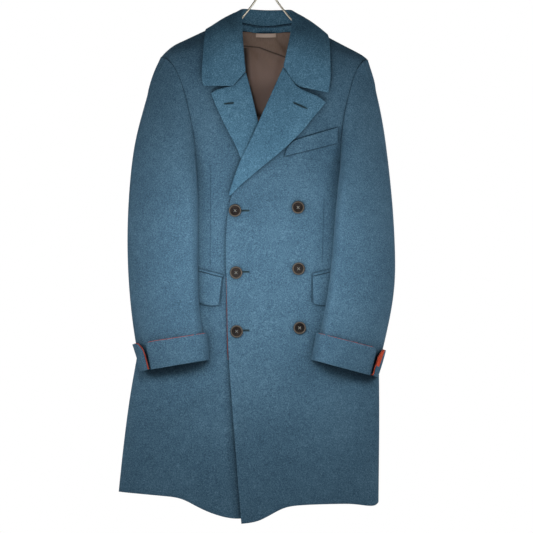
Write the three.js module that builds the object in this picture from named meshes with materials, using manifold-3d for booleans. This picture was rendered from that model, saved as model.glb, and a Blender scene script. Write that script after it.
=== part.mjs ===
// Double-breasted coat hanging on a wire hanger.
// Millimetres, +Z up, +X to the viewer's right, the front faces -Y.
// The origin is the point inside the hanger's hook that rests on a rail.
import * as THREE from 'three';
import { mergeVertices } from 'three/addons/utils/BufferGeometryUtils.js';
import Module from 'manifold-3d';

const wasm = await Module();
wasm.setup();

// Driving sizes
const WOOL = 2.5; // thickness of the wool cloth
const LINING = 1.0; // thickness of the lining satin
const FELT = 1.0; // thickness of the cuff's felt facing
const SEAM = 0.3; // clearance between two sewn pieces
const LAYER = 0.9; // clearance between two layers that lie on each other
const OVERLAP_GAP = 1.3; // clearance between the two fronts where they overlap
const SIDE_Y = 5; // depth at which the side seams and shoulder seams lie
const ROUND_POWER = 2.6; // how square the body's section is at its sides
const SHOULDER_DEPTH = 85; // height over which the shoulder rounds into front and back
const SLEEVE_GAP = 5.5; // clearance between a sleeve and the body it hangs against
const SLEEVE_ROLL = 9; // how far a sleeve's inner edge rolls forward of that clearance
const BUTTON_RADIUS = 13.5;
const BUTTON_THICK = 4.6;
const BUTTON_HOLE_RADIUS = 1.2;
const BUTTON_HOLE_PLACE = 3.0;
const WIRE_RADIUS = 1.6;
const HOOK_RADIUS = 19.6; // centre line of the hook's bend
const POCKET_GAP = 0.9; // clearance of flaps and welts from the panel
const ARM_SEAM = 0.5; // clearance between a sleeve head and the armhole's edge
const SAMPLE_STEP = 0.5; // step for slopes of the form

// Colours, roughness
const WOOL_BLUE = new THREE.Color(0x446a80);
const COLLAR_BLUE = new THREE.Color(0x4a7083);
const LINING_BROWN = new THREE.Color(0x5c4b42);
const LOOP_BROWN = new THREE.Color(0x735f58);
const FELT_ORANGE = new THREE.Color(0xcd5532);
const HORN_BROWN = new THREE.Color(0x4b413c);
const WIRE_GREY = new THREE.Color(0xd7d2c3);

// Body sections from the shoulders down: height, left and right side, depth of front and back
const SECTIONS = [
  { at: 100, left: -240, right: 234, front: 50, back: 42 },
  { at: 224, left: -239, right: 233, front: 56, back: 45 },
  { at: 383, left: -228, right: 216, front: 60, back: 46 },
  { at: 454, left: -217, right: 206.5, front: 60, back: 46 },
  { at: 533, left: -221.5, right: 217, front: 59, back: 46 },
  { at: 641, left: -239, right: 228, front: 57, back: 43 },
  { at: 748, left: -256, right: 236.5, front: 54, back: 41 },
  { at: 856, left: -275, right: 243, front: 52, back: 40 },
  { at: 954, left: -293, right: 244.5, front: 51, back: 40 },
  { at: 1039, left: -304, right: 244.5, front: 52, back: 41 },
  { at: 1159, left: -317, right: 243, front: 56, back: 43 },
  { at: 1240, left: -320, right: 243, front: 58, back: 44 },
];

// Top line of the shoulders: place across, drop below the origin
const SHOULDER_LINE = [
  { at: -240, drop: 246 },
  { at: -226, drop: 224 },
  { at: -216, drop: 213 },
  { at: -199, drop: 199 },
  { at: -168, drop: 184.5 },
  { at: -131, drop: 166.8 },
  { at: -71, drop: 140 },
  { at: -35, drop: 127 },
  { at: 0, drop: 121 },
  { at: 35, drop: 130 },
  { at: 71, drop: 148.4 },
  { at: 136, drop: 182 },
  { at: 162.5, drop: 196.5 },
  { at: 184.5, drop: 207.5 },
  { at: 206.4, drop: 219.3 },
  { at: 219, drop: 229.5 },
  { at: 232, drop: 248 },
];

// Soft folds of the hung cloth: both ends, height of the ridge, half width, front (-1) or back (1)
const FOLDS = [
  { x1: -116, z1: -918, x2: -212, z2: -1000, rise: 6, width: 26, side: -1 },
  { x1: -150, z1: -1010, x2: -165, z2: -1230, rise: 5, width: 30, side: -1 },
  { x1: 120, z1: -900, x2: 150, z2: -1200, rise: 4, width: 34, side: -1 },
  { x1: -120, z1: -520, x2: -140, z2: -1180, rise: 6, width: 34, side: 1 },
  { x1: 10, z1: -650, x2: -10, z2: -1180, rise: -4, width: 40, side: 1 },
  { x1: 118, z1: -560, x2: 128, z2: -1180, rise: 6, width: 34, side: 1 },
];

// Small helpers
const mix = (a, b, t) => a + (b - a) * t;
const clamp01 = (t) => Math.min(1, Math.max(0, t));
const smooth = (from, to, value) => {
  const t = clamp01((value - from) / (to - from));
  return t * t * (3 - 2 * t);
};
const vec = (x, y, z) => new THREE.Vector3(x, y, z);
const flat = (x, z) => ({ x, z });

// Cubic interpolation of one column of a table whose rows are ordered by "at"
function column(rows, name, at) {
  const last = rows.length - 1;
  if (at <= rows[0].at) {
    return rows[0][name];
  }
  if (at >= rows[last].at) {
    return rows[last][name];
  }
  let i = 0;
  while (rows[i + 1].at < at) {
    i += 1;
  }
  const slope = (k) => {
    const low = rows[Math.max(0, k - 1)];
    const high = rows[Math.min(last, k + 1)];
    return (high[name] - low[name]) / (high.at - low.at);
  };
  const span = rows[i + 1].at - rows[i].at;
  const t = (at - rows[i].at) / span;
  const t2 = t * t;
  const t3 = t2 * t;
  return (2 * t3 - 3 * t2 + 1) * rows[i][name]
    + (t3 - 2 * t2 + t) * span * slope(i)
    + (3 * t2 - 2 * t3) * rows[i + 1][name]
    + (t3 - t2) * span * slope(i + 1);
}

// A line through flat points, read by its fraction of length
function path(points) {
  const ends = [0];
  for (let i = 1; i < points.length; i += 1) {
    const step = Math.hypot(points[i].x - points[i - 1].x, points[i].z - points[i - 1].z);
    ends.push(ends[i - 1] + step);
  }
  const total = ends[ends.length - 1];
  return (fraction) => {
    const want = clamp01(fraction) * total;
    let i = 0;
    while (i < points.length - 2 && ends[i + 1] < want) {
      i += 1;
    }
    const t = (want - ends[i]) / (ends[i + 1] - ends[i]);
    return flat(mix(points[i].x, points[i + 1].x, t), mix(points[i].z, points[i + 1].z, t));
  };
}

// The coat's outer form
const shoulderTop = (x) => -column(SHOULDER_LINE, 'drop', x);

function section(z) {
  const left = column(SECTIONS, 'left', -z);
  const right = column(SECTIONS, 'right', -z);
  return {
    middle: (left + right) / 2,
    half: (right - left) / 2,
    left,
    right,
    front: column(SECTIONS, 'front', -z),
    back: column(SECTIONS, 'back', -z),
  };
}

function foldRise(x, z, side) {
  let rise = 0;
  for (const fold of FOLDS.filter((row) => row.side === side)) {
    const dx = fold.x2 - fold.x1;
    const dz = fold.z2 - fold.z1;
    const along = ((x - fold.x1) * dx + (z - fold.z1) * dz) / (dx * dx + dz * dz);
    const near = clamp01(along);
    const away = Math.hypot(x - fold.x1 - near * dx, z - fold.z1 - near * dz) / fold.width;
    rise += fold.rise * Math.exp(-away * away);
  }
  return rise;
}

// Square of how far the form has rounded out below the shoulder line, 0 at the line
function shoulderRound(x, z) {
  const below = 1 - Math.min(1, (shoulderTop(x) - z) / SHOULDER_DEPTH);
  return 1 - below * below;
}

// Zero on the form, negative inside it
function formValue(point, side) {
  const at = section(point.z);
  const across = Math.abs(point.x - at.middle) / at.half;
  const depth = side < 0 ? at.front : at.back;
  const edge = Math.max(0, 1 - across * across);
  const deep = (point.y - SIDE_Y - side * foldRise(point.x, point.z, side) * edge) / depth;
  return shoulderRound(point.x, point.z) * (across ** ROUND_POWER - 1) + deep * deep;
}

function formNormal(point, side) {
  const normal = vec(0, 0, 0);
  for (const axis of ['x', 'y', 'z']) {
    const ahead = point.clone();
    const behind = point.clone();
    ahead[axis] += SAMPLE_STEP;
    behind[axis] -= SAMPLE_STEP;
    normal[axis] = formValue(ahead, side) - formValue(behind, side);
  }
  return normal.normalize();
}

// Depth of the form's front (side -1) or back (side 1) at a place seen from the front
function formY(x, z, side) {
  const at = section(z);
  const across = Math.abs(x - at.middle) / at.half;
  const open = Math.max(0, 1 - across ** ROUND_POWER) * Math.max(0, shoulderRound(x, z));
  const depth = side < 0 ? at.front : at.back;
  const edge = Math.max(0, 1 - across * across);
  return SIDE_Y + side * (depth * Math.sqrt(open) + foldRise(x, z, side) * edge);
}

function onForm(x, z, side, lift) {
  const point = vec(x, formY(x, z, side), z);
  return point.addScaledVector(formNormal(point, side), lift);
}

// Moves a point straight out, a few short moves at most, until it stands clear of the form
const PUSH_TURNS = 6;
const PUSH_MOST = 8;

function pushOut(point, side, lift) {
  const moved = point.clone();
  for (let turn = 0; turn < PUSH_TURNS; turn += 1) {
    const here = formValue(moved, side);
    const normal = formNormal(moved, side);
    const ahead = moved.clone().addScaledVector(normal, SAMPLE_STEP);
    const rate = (formValue(ahead, side) - here) / SAMPLE_STEP;
    const away = here / Math.max(rate, 1e-4);
    if (away >= lift) {
      break;
    }
    moved.addScaledVector(normal, Math.min(PUSH_MOST, lift - away));
  }
  return moved;
}

// Closed walls from two matching grids of points, the face side and the wrong side
function wall(face, wrong) {
  const rows = face.length;
  const cols = face[0].length;
  const positions = [];
  for (const grid of [face, wrong]) {
    for (const row of grid) {
      for (const point of row) {
        positions.push(point.x, point.y, point.z);
      }
    }
  }
  const at = (layer, i, j) => layer * rows * cols + i * cols + j;
  const index = [];
  const quad = (a, b, c, d) => index.push(a, b, c, a, c, d);
  for (let i = 0; i < rows - 1; i += 1) {
    for (let j = 0; j < cols - 1; j += 1) {
      quad(at(0, i, j), at(0, i, j + 1), at(0, i + 1, j + 1), at(0, i + 1, j));
      quad(at(1, i, j), at(1, i + 1, j), at(1, i + 1, j + 1), at(1, i, j + 1));
    }
  }
  for (let j = 0; j < cols - 1; j += 1) {
    quad(at(0, 0, j), at(1, 0, j), at(1, 0, j + 1), at(0, 0, j + 1));
    quad(at(0, rows - 1, j), at(0, rows - 1, j + 1), at(1, rows - 1, j + 1), at(1, rows - 1, j));
  }
  for (let i = 0; i < rows - 1; i += 1) {
    quad(at(0, i, 0), at(0, i + 1, 0), at(1, i + 1, 0), at(1, i, 0));
    quad(at(0, i, cols - 1), at(1, i, cols - 1), at(1, i + 1, cols - 1), at(0, i + 1, cols - 1));
  }
  const geometry = new THREE.BufferGeometry();
  geometry.setAttribute('position', new THREE.Float32BufferAttribute(positions, 3));
  geometry.setIndex(index);
  if (signedVolume(geometry) < 0) {
    for (let k = 0; k < index.length; k += 3) {
      [index[k + 1], index[k + 2]] = [index[k + 2], index[k + 1]];
    }
    geometry.setIndex(index);
  }
  geometry.computeVertexNormals();
  return geometry;
}

function signedVolume(geometry) {
  const place = geometry.getAttribute('position');
  const index = geometry.getIndex();
  let volume = 0;
  const corner = (k) => new THREE.Vector3().fromBufferAttribute(place, index.getX(k));
  for (let k = 0; k < index.count; k += 3) {
    volume += corner(k).dot(corner(k + 1).cross(corner(k + 2))) / 6;
  }
  return volume;
}

// Normals of a grid of points; "around" joins the last column to the first
function gridNormals(grid, around) {
  const rows = grid.length;
  const cols = grid[0].length;
  return grid.map((row, i) => row.map((point, j) => {
    const up = grid[Math.min(rows - 1, i + 1)][j];
    const down = grid[Math.max(0, i - 1)][j];
    const next = around ? grid[i][(j + 1) % cols] : grid[i][Math.min(cols - 1, j + 1)];
    const before = around ? grid[i][(j + cols - 1) % cols] : grid[i][Math.max(0, j - 1)];
    return next.clone().sub(before).cross(up.clone().sub(down)).normalize();
  }));
}

function node(name, geometry, colour, roughness, metalness = 0) {
  const material = new THREE.MeshStandardMaterial({ color: colour, roughness, metalness });
  const mesh = new THREE.Mesh(geometry, material);
  mesh.name = name;
  return mesh;
}

const woolNode = (name, geometry, colour = WOOL_BLUE) => node(name, geometry, colour, 0.95);

// A four-sided patch between two matching lists of points, bent to its bottom and top lines
function patch(left, right, bottom, top, shares) {
  const rows = left.length;
  return left.map((start, i) => {
    const end = right[i];
    const up = i / (rows - 1);
    return shares.map((a) => {
      const low = bottom(a);
      const high = top(a);
      const lowBend = flat(
        low.x - mix(left[0].x, right[0].x, a),
        low.z - mix(left[0].z, right[0].z, a),
      );
      const highBend = flat(
        high.x - mix(left[rows - 1].x, right[rows - 1].x, a),
        high.z - mix(left[rows - 1].z, right[rows - 1].z, a),
      );
      return flat(
        mix(start.x, end.x, a) + (1 - up) * lowBend.x + up * up * highBend.x,
        mix(start.z, end.z, a) + (1 - up) * lowBend.z + up * up * highBend.z,
      );
    });
  });
}

const evenShares = (count) => Array.from({ length: count + 1 }, (_, j) => j / count);
// Shares that crowd towards 0, where the body turns sharply at its side
const SIDE_CROWD = 0.85;
const sideShares = (count) => evenShares(count).map(
  (t) => mix(t, 1 - Math.cos((t * Math.PI) / 2), SIDE_CROWD),
);

// Armholes: angle round the loop from the shoulder tip (0) to the armpit (180)
const ARMHOLES = {
  left: {
    top: -223.6,
    bottom: -453.7,
    front: [
      { at: 0, x: -225.8 },
      { at: 15, x: -215 },
      { at: 30, x: -202 },
      { at: 50, x: -187.5 },
      { at: 70, x: -176 },
      { at: 90, x: -165.5 },
      { at: 110, x: -158 },
      { at: 130, x: -152.6 },
      { at: 145, x: -153.7 },
      { at: 155, x: -163.4 },
      { at: 165, x: -178.5 },
      { at: 173, x: -197.8 },
      { at: 177, x: -208.5 },
      { at: 179, x: -214 },
      { at: 180, x: -217 },
    ],
    back: [
      { at: 0, x: -225.8 },
      { at: 15, x: -215 },
      { at: 30, x: -206.4 },
      { at: 50, x: -196.7 },
      { at: 70, x: -189 },
      { at: 90, x: -183.8 },
      { at: 110, x: -181.7 },
      { at: 130, x: -182.8 },
      { at: 150, x: -191.4 },
      { at: 165, x: -203 },
      { at: 172, x: -209.5 },
      { at: 178, x: -215.2 },
      { at: 180, x: -217 },
    ],
  },
  right: {
    top: -229.4,
    bottom: -453.7,
    front: [
      { at: 0, x: 218.6 },
      { at: 15, x: 209.6 },
      { at: 30, x: 199 },
      { at: 50, x: 188 },
      { at: 70, x: 178.5 },
      { at: 90, x: 169.4 },
      { at: 110, x: 163.5 },
      { at: 130, x: 161.2 },
      { at: 145, x: 161.2 },
      { at: 155, x: 166 },
      { at: 165, x: 178 },
      { at: 173, x: 191 },
      { at: 177, x: 199.5 },
      { at: 179, x: 204 },
      { at: 180, x: 206.4 },
    ],
    back: [
      { at: 0, x: 218.6 },
      { at: 15, x: 208.5 },
      { at: 30, x: 199 },
      { at: 50, x: 190 },
      { at: 70, x: 184 },
      { at: 90, x: 180 },
      { at: 110, x: 178 },
      { at: 130, x: 179 },
      { at: 150, x: 186 },
      { at: 165, x: 195 },
      { at: 172, x: 200 },
      { at: 178, x: 205 },
      { at: 180, x: 206.4 },
    ],
  },
};
const FRONT_ANGLES = [
  0, 14, 28, 42, 56, 70, 84, 98, 112, 126, 140, 149, 158, 166, 173, 177, 179, 180,
];
const BACK_ANGLES = [180, 178, 172, 162, 144, 126, 108, 90, 72, 54, 36, 18, 0];

function armholePoint(arm, angle, face) {
  const middle = (arm.top + arm.bottom) / 2;
  const half = (arm.top - arm.bottom) / 2;
  const z = middle + half * Math.cos((angle * Math.PI) / 180);
  return flat(column(arm[face], 'x', angle), z);
}

// Side seam from the hem up to the armpit
const SIDE_ROWS = 10;
const BACK_SIDE_ROWS = 7;
function sideSeam(name, hemZ, rows) {
  const arm = ARMHOLES[name];
  return evenShares(rows).slice(0, rows).map((t) => {
    const z = mix(hemZ, arm.bottom, t);
    return flat(section(z)[name], z);
  });
}

// How far the over front stands proud of the form: over the under front, more over its lapel.
// The level changes over these heights and places.
const LAPEL_FOOT = [-485, -535];
const OVER_TOP = [-235, -330];
const OVER_FREE = [84, 142];

function overLift(x, z) {
  const one = WOOL + OVERLAP_GAP;
  const two = one + WOOL + LAYER;
  const level = mix(two, one, smooth(...LAPEL_FOOT, z)) * smooth(...OVER_TOP, z);
  return level * (1 - smooth(...OVER_FREE, x));
}
const noLift = () => 0;

// Hems and front edges, seen from the front
const UNDER_HEM = [
  flat(-318, -1162), flat(-256, -1167), flat(-175, -1174), flat(-160, -1184), flat(-142, -1198),
  flat(-120, -1208), flat(-94, -1215), flat(-54, -1223), flat(-20, -1216), flat(20, -1190),
  flat(84, -1178),
];
const OVER_HEM = [
  flat(243, -1184), flat(238, -1192), flat(226, -1193), flat(208, -1190), flat(186, -1187),
  flat(142, -1187), flat(88, -1188.5), flat(48, -1191), flat(33, -1194.5), flat(11, -1209.5),
  flat(-15.5, -1223), flat(-21.5, -1229), flat(-53, -1229),
];
const OVER_FRONT_EDGE = [
  flat(-53, -1229), flat(-56, -1195), flat(-62, -1118), flat(-65, -1074), flat(-72, -987),
  flat(-77, -924), flat(-82, -847), flat(-84, -727), flat(-87, -650), flat(-88, -560),
];
const UNDER_FRONT_EDGE = [flat(84, -1178), flat(84, -522)];
const BACK_HEM = [
  flat(-318, -1162), flat(-150, -1168), flat(0, -1172), flat(150, -1178), flat(243, -1184),
];

// Lapels: the roll line from its foot to the gorge, the free edge, and the gorge to the tip
const OVER_LAPEL = {
  rows: 13,
  cols: 7,
  roll: [
    flat(-80, -522), flat(-70, -486), flat(-55, -446), flat(-24.3, -383), flat(36.8, -246.8),
  ],
  outer: [
    flat(-76, -523.5), flat(-55, -501), flat(-11.2, -464), flat(32.7, -428.7), flat(80.6, -382.7),
    flat(102, -352.6), flat(123, -331.8), flat(127.7, -324),
  ],
  top: [
    flat(36.8, -246.8), flat(66, -291), flat(88.4, -301.5), flat(121, -314.3), flat(127.7, -324),
  ],
};
const UNDER_LAPEL = {
  rows: 10,
  cols: 5,
  roll: [
    flat(12, -427), flat(-17.2, -362), flat(-26.7, -320.4), flat(-34.4, -288), flat(-43, -258),
  ],
  outer: [
    flat(-36, -487), flat(-49.5, -458), flat(-56.3, -435.4), flat(-67.3, -411.3),
    flat(-89.7, -369.8), flat(-109, -326.8), flat(-117.8, -304.2),
  ],
  top: [
    flat(-43, -258), flat(-71, -290.2), flat(-113, -295.2), flat(-117.8, -304.2),
  ],
};
const FOLD_RADIUS = WOOL + LAYER / 2; // outer radius of the fold along a roll line
const FOLD_STEPS = [180, 130, 90, 45, 0];

// Collar stations from the under lapel's gorge (0) round the back of the neck to the over
// lapel's gorge (16): the neck seam, the fold (ridge) and the leaf's outer edge
const COLLAR_END = 16;
const COLLAR = [
  { at: 0, seamX: -47, seamZ: -257, ridgeX: -43, ridgeZ: -256.5, edgeX: -134, edgeZ: -288 },
  { at: 1, seamX: -50, seamZ: -237.5, ridgeX: -45.3, ridgeZ: -237.5, edgeX: -138.9, edgeZ: -268 },
  { at: 2, seamX: -54.5, seamZ: -206, ridgeX: -48.2, ridgeZ: -200, edgeX: -135.5, edgeZ: -223 },
  { at: 3, seamX: -60, seamZ: -178, ridgeX: -49.7, ridgeZ: -168, edgeX: -132.5, edgeZ: -189 },
  { at: 4, seamX: -66, seamZ: -156, ridgeX: -51, ridgeZ: -139, edgeX: -129.5, edgeZ: -172 },
  { at: 5, seamX: -71, seamZ: -141, ridgeX: -54, ridgeZ: -121, edgeX: -127, edgeZ: -163 },
  { at: 6, seamX: -56, seamZ: -149, ridgeX: -42, ridgeZ: -119, edgeX: -106, edgeZ: -176 },
  { at: 7, seamX: -30, seamZ: -155, ridgeX: -22, ridgeZ: -120, edgeX: -62, edgeZ: -188 },
  { at: 8, seamX: 0, seamZ: -157, ridgeX: 0, ridgeZ: -121, edgeX: 0, edgeZ: -191 },
  { at: 9, seamX: 30, seamZ: -156, ridgeX: 22, ridgeZ: -121, edgeX: 62, edgeZ: -190 },
  { at: 10, seamX: 56, seamZ: -153, ridgeX: 43, ridgeZ: -121, edgeX: 108, edgeZ: -182 },
  { at: 11, seamX: 71, seamZ: -149, ridgeX: 57, ridgeZ: -123, edgeX: 130, edgeZ: -171 },
  { at: 12, seamX: 68, seamZ: -163, ridgeX: 55.6, ridgeZ: -144, edgeX: 135.5, edgeZ: -182.5 },
  { at: 13, seamX: 62, seamZ: -182, ridgeX: 52, ridgeZ: -170.5, edgeX: 137.5, edgeZ: -202 },
  { at: 14, seamX: 55, seamZ: -206, ridgeX: 47.3, ridgeZ: -197.8, edgeX: 138, edgeZ: -236 },
  { at: 15, seamX: 46, seamZ: -229, ridgeX: 41, ridgeZ: -228, edgeX: 139.2, edgeZ: -272 },
  { at: 16, seamX: 41.3, seamZ: -245, ridgeX: 36.8, ridgeZ: -245.3, edgeX: 134, edgeZ: -303 },
];
// Depth of the ridge and of the leaf's edge where the collar stands free
const COLLAR_DEPTHS = [
  { at: 3, ridge: -37, edge: -30 },
  { at: 4, ridge: -18, edge: -12 },
  { at: 5, ridge: 2, edge: 8 },
  { at: 6, ridge: 22, edge: 38 },
  { at: 7, ridge: 31, edge: 55 },
  { at: 8, ridge: 35, edge: 60 },
  { at: 9, ridge: 31, edge: 55 },
  { at: 10, ridge: 22, edge: 38 },
  { at: 11, ridge: 2, edge: 8 },
  { at: 12, ridge: -18, edge: -12 },
  { at: 13, ridge: -37, edge: -30 },
];
const SHOULDER_STATION = 5; // where the collar crosses each shoulder seam, from either end
const COLLAR_TURNS = 26;
const STAND_ROOM = 3.8; // more room for the stand under the leaf beside the neck
const STAND_LIFT = 2.2; // how far the stand's foot is above the neck seam
const RIDGE_ROLL = 3; // how far the fold stands forward of the lapel's level
const STAND_START = 1.9; // the stand's ends, counted along the collar's stations
const STAND_END = 14.1;
const STAND_LEVELS = [0, 0.33, 0.67, 1]; // rows of the stand, from its foot to its top
const COLLAR_INSET = 0.03; // how far the leaf's ends are inside the first and last station
const FOLD_TUCK = 0.6; // share of the fold's radius that lies inside the leaf's level
// The leaf bows out between its fold and its edge, outwards and up behind the neck and less
// in front. Ranges are stations, or shares of the leaf's width.
const LEAF = {
  bow: 5,
  bowFront: 0.4,
  bowOut: 1.4,
  bowUp: 60,
  frontLeft: [4.5, 2.5],
  frontRight: [11.5, 13.5],
  liesFront: [0, 0.1],
  liesBack: [0.15, 0.4],
  standEnds: [1.5, 2.5],
  standWidth: [0.5, 0.8],
};

// A line of flat points moved sideways, to the left of its direction
function beside(points, distance) {
  return points.map((point, i) => {
    const next = points[Math.min(points.length - 1, i + 1)];
    const before = points[Math.max(0, i - 1)];
    const length = Math.hypot(next.x - before.x, next.z - before.z);
    return flat(
      point.x - (distance * (next.z - before.z)) / length,
      point.z + (distance * (next.x - before.x)) / length,
    );
  });
}

// Where each front's cloth ends: front edge, fold of the lapel, then the neck seam
const FOLD_ROOM = FOLD_RADIUS + 5 * SEAM;
const neckSeam = (stations) => stations.map(
  (at) => flat(column(COLLAR, 'seamX', at), column(COLLAR, 'seamZ', at)),
);
const UNDER_EDGE = [
  ...UNDER_FRONT_EDGE,
  flat(5, -438),
  ...beside(UNDER_LAPEL.roll, FOLD_ROOM),
  ...neckSeam([0, 1, 2, 3, 4, 5]).slice(1),
];
const OVER_EDGE = [
  ...OVER_FRONT_EDGE,
  ...beside(OVER_LAPEL.roll, -FOLD_ROOM),
  ...neckSeam([16, 15, 14, 13, 12, 11]).slice(1),
];

function panelWall(grid, side, lift) {
  const face = grid.map((row) => row.map((p) => onForm(p.x, p.z, side, lift(p.x, p.z))));
  const wrong = grid.map((row) => row.map((p) => onForm(p.x, p.z, side, lift(p.x, p.z) - WOOL)));
  for (const point of [...face.flat(), ...wrong.flat()]) {
    point.y += (side * SEAM) / 2;
  }
  return wall(face, wrong);
}

// The two fronts: armpitShare is how far along the front edge the armpit's row meets it
const FRONTS = {
  under: {
    name: 'left', hem: UNDER_HEM, edge: UNDER_EDGE, cols: 12, armpitShare: 0.62, lift: noLift,
  },
  over: {
    name: 'right', hem: OVER_HEM, edge: OVER_EDGE, cols: 13, armpitShare: 0.7, lift: overLift,
  },
};

function frontPanel({ name, hem, edge, cols, armpitShare, lift }) {
  const arm = ARMHOLES[name];
  const left = sideSeam(name, hem[0].z, SIDE_ROWS);
  left.push(...[...FRONT_ANGLES].reverse().map((angle) => armholePoint(arm, angle, 'front')));
  const inner = path(edge);
  const shares = evenShares(SIDE_ROWS).slice(0, SIDE_ROWS).map((t) => armpitShare * t);
  shares.push(...[...FRONT_ANGLES].reverse().map((angle) => mix(1, armpitShare, angle / 180)));
  const right = shares.map(inner);
  const tip = left[left.length - 1];
  const neck = right[right.length - 1];
  const top = (a) => {
    const x = mix(tip.x, neck.x, a);
    return flat(x, shoulderTop(x));
  };
  return panelWall(patch(left, right, path(hem), top, sideShares(cols)), -1, lift);
}

// Back: one panel with the neck hollowed out between the two shoulder seams
const NECK_HALF = 71;
const NECK_DROP = 157;
// Places of the back's columns along its top, measured from the middle of the neck
const BACK_COLUMNS = [
  -225.8, -219, -203, -178, -146, -110, -84, -71, -66.5, -57, -42, -22, 0,
  22, 42, 57, 66.5, 71, 84, 110, 142, 172, 196, 212, 218.6,
];

function backNeck(x) {
  const inNeck = Math.max(0, 1 - (x / NECK_HALF) ** 2);
  return mix(shoulderTop(x), -NECK_DROP, Math.sqrt(inNeck));
}

function backPanel() {
  const sideOf = (name, hemZ) => {
    const line = sideSeam(name, hemZ, BACK_SIDE_ROWS);
    line.push(...BACK_ANGLES.map((angle) => armholePoint(ARMHOLES[name], angle, 'back')));
    return line;
  };
  const left = sideOf('left', BACK_HEM[0].z);
  const right = sideOf('right', BACK_HEM[BACK_HEM.length - 1].z);
  const tips = [left[left.length - 1], right[right.length - 1]];
  const width = tips[1].x - tips[0].x;
  const shares = BACK_COLUMNS.map((x) => clamp01((x - tips[0].x) / width));
  const top = (a) => {
    const x = tips[0].x + width * a;
    return flat(x, backNeck(x));
  };
  return panelWall(patch(left, right, path(BACK_HEM), top, shares), 1, noLift);
}

// Lapels: turned back over their front, with a round fold along the roll line
function lapelWall(shape, lift) {
  const { rows, cols } = shape;
  const rollPoints = evenShares(rows).map(path(shape.roll));
  const outerPoints = evenShares(rows).map(path(shape.outer));
  const foot = path([shape.roll[0], shape.outer[0]]);
  const flatGrid = patch(rollPoints, outerPoints, foot, path(shape.top), evenShares(cols));
  const face = [];
  const wrong = [];
  for (const [start, ...rest] of flatGrid) {
    const width = Math.hypot(rest[0].x - start.x, rest[0].z - start.z);
    const aim = flat((rest[0].x - start.x) / width, (rest[0].z - start.z) / width);
    const reach = Math.min(1, width / FOLD_RADIUS);
    const foldPoint = (angle, radius) => {
      const turn = (angle * Math.PI) / 180;
      const along = (FOLD_RADIUS - radius * Math.sin(turn)) * reach;
      const x = start.x + aim.x * along;
      const z = start.z + aim.z * along;
      return onForm(x, z, -1, lift(start.x, start.z) + LAYER / 2 + radius * Math.cos(turn));
    };
    const top = (p) => lift(p.x, p.z) + LAYER + WOOL;
    face.push([
      ...FOLD_STEPS.map((angle) => foldPoint(angle, FOLD_RADIUS)),
      ...rest.map((p) => onForm(p.x, p.z, -1, top(p))),
    ]);
    wrong.push([
      ...FOLD_STEPS.map((angle) => foldPoint(angle, LAYER / 2)),
      ...rest.map((p) => onForm(p.x, p.z, -1, top(p) - WOOL)),
    ]);
  }
  return wall(face, wrong);
}

function collarRail(at, rail) {
  const x = column(COLLAR, `${rail}X`, at);
  const z = column(COLLAR, `${rail}Z`, at);
  const ends = Math.min(at, COLLAR_END - at);
  if (rail === 'seam') {
    const side = ends < SHOULDER_STATION ? -1 : 1;
    const place = side < 0 ? z : backNeck(x);
    return vec(x, formY(x, place, side), place);
  }
  const roll = rail === 'ridge' ? RIDGE_ROLL * smooth(0, 2, ends) : 0;
  const lift = 2 * WOOL + LAYER + overLift(x, z) + roll;
  const depth = formY(x, z, -1) - lift;
  const free = smooth(2, 3, ends);
  return vec(x, mix(depth, column(COLLAR_DEPTHS, rail, at), free), z);
}

// The leaf's front ends run along the gorge, then along the free bottom edge
const GORGE_SHARE = 0.36;
const LEAF_CORNERS = { left: flat(-71, -288), right: flat(65.4, -288.5) };
const END_STATIONS = 1.4; // stations over which the leaf takes on its end's line
function leafEnd(at, share) {
  const corner = at < COLLAR_END / 2 ? LEAF_CORNERS.left : LEAF_CORNERS.right;
  const near = 1 - smooth(0, END_STATIONS, Math.min(at, COLLAR_END - at));
  const ridge = collarRail(at, 'ridge');
  const edge = collarRail(at, 'edge');
  const past = (share - GORGE_SHARE) / (1 - GORGE_SHARE);
  const along = share < GORGE_SHARE ? share / GORGE_SHARE : past;
  const from = share < GORGE_SHARE ? ridge : corner;
  const to = share < GORGE_SHARE ? corner : edge;
  return vec(
    (mix(from.x, to.x, along) - mix(ridge.x, edge.x, share)) * near,
    0,
    (mix(from.z, to.z, along) - mix(ridge.z, edge.z, share)) * near,
  );
}

function leafPoint(at, share) {
  const ridge = collarRail(at, 'ridge');
  const point = ridge.clone().lerp(collarRail(at, 'edge'), share).add(leafEnd(at, share));
  const side = point.y > SIDE_Y ? 1 : -1;
  const front = smooth(...LEAF.frontLeft, at) + smooth(...LEAF.frontRight, at);
  const bow = LEAF.bow * Math.sin(share * Math.PI);
  const out = vec(point.x, (point.y - SIDE_Y) * LEAF.bowOut, LEAF.bowUp).normalize();
  point.addScaledVector(out, bow * (1 - front));
  point.y -= front * bow * LEAF.bowFront;
  const lay = Math.max(front * smooth(...LEAF.liesFront, share), smooth(...LEAF.liesBack, share));
  const ends = smooth(...LEAF.standEnds, Math.min(at, COLLAR_END - at));
  const over = ends * (1 - smooth(...LEAF.standWidth, share));
  const lift = (OVERLAP_GAP + WOOL + overLift(point.x, point.z) + STAND_ROOM * over) * lay;
  return lay > 0 ? pushOut(point, side, lift) : point;
}

// The leaf, turned over the stand in a round fold along the ridge
const LEAF_SHARES = [0.13, 0.24, 0.36, 0.56, 0.78, 1];

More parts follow.
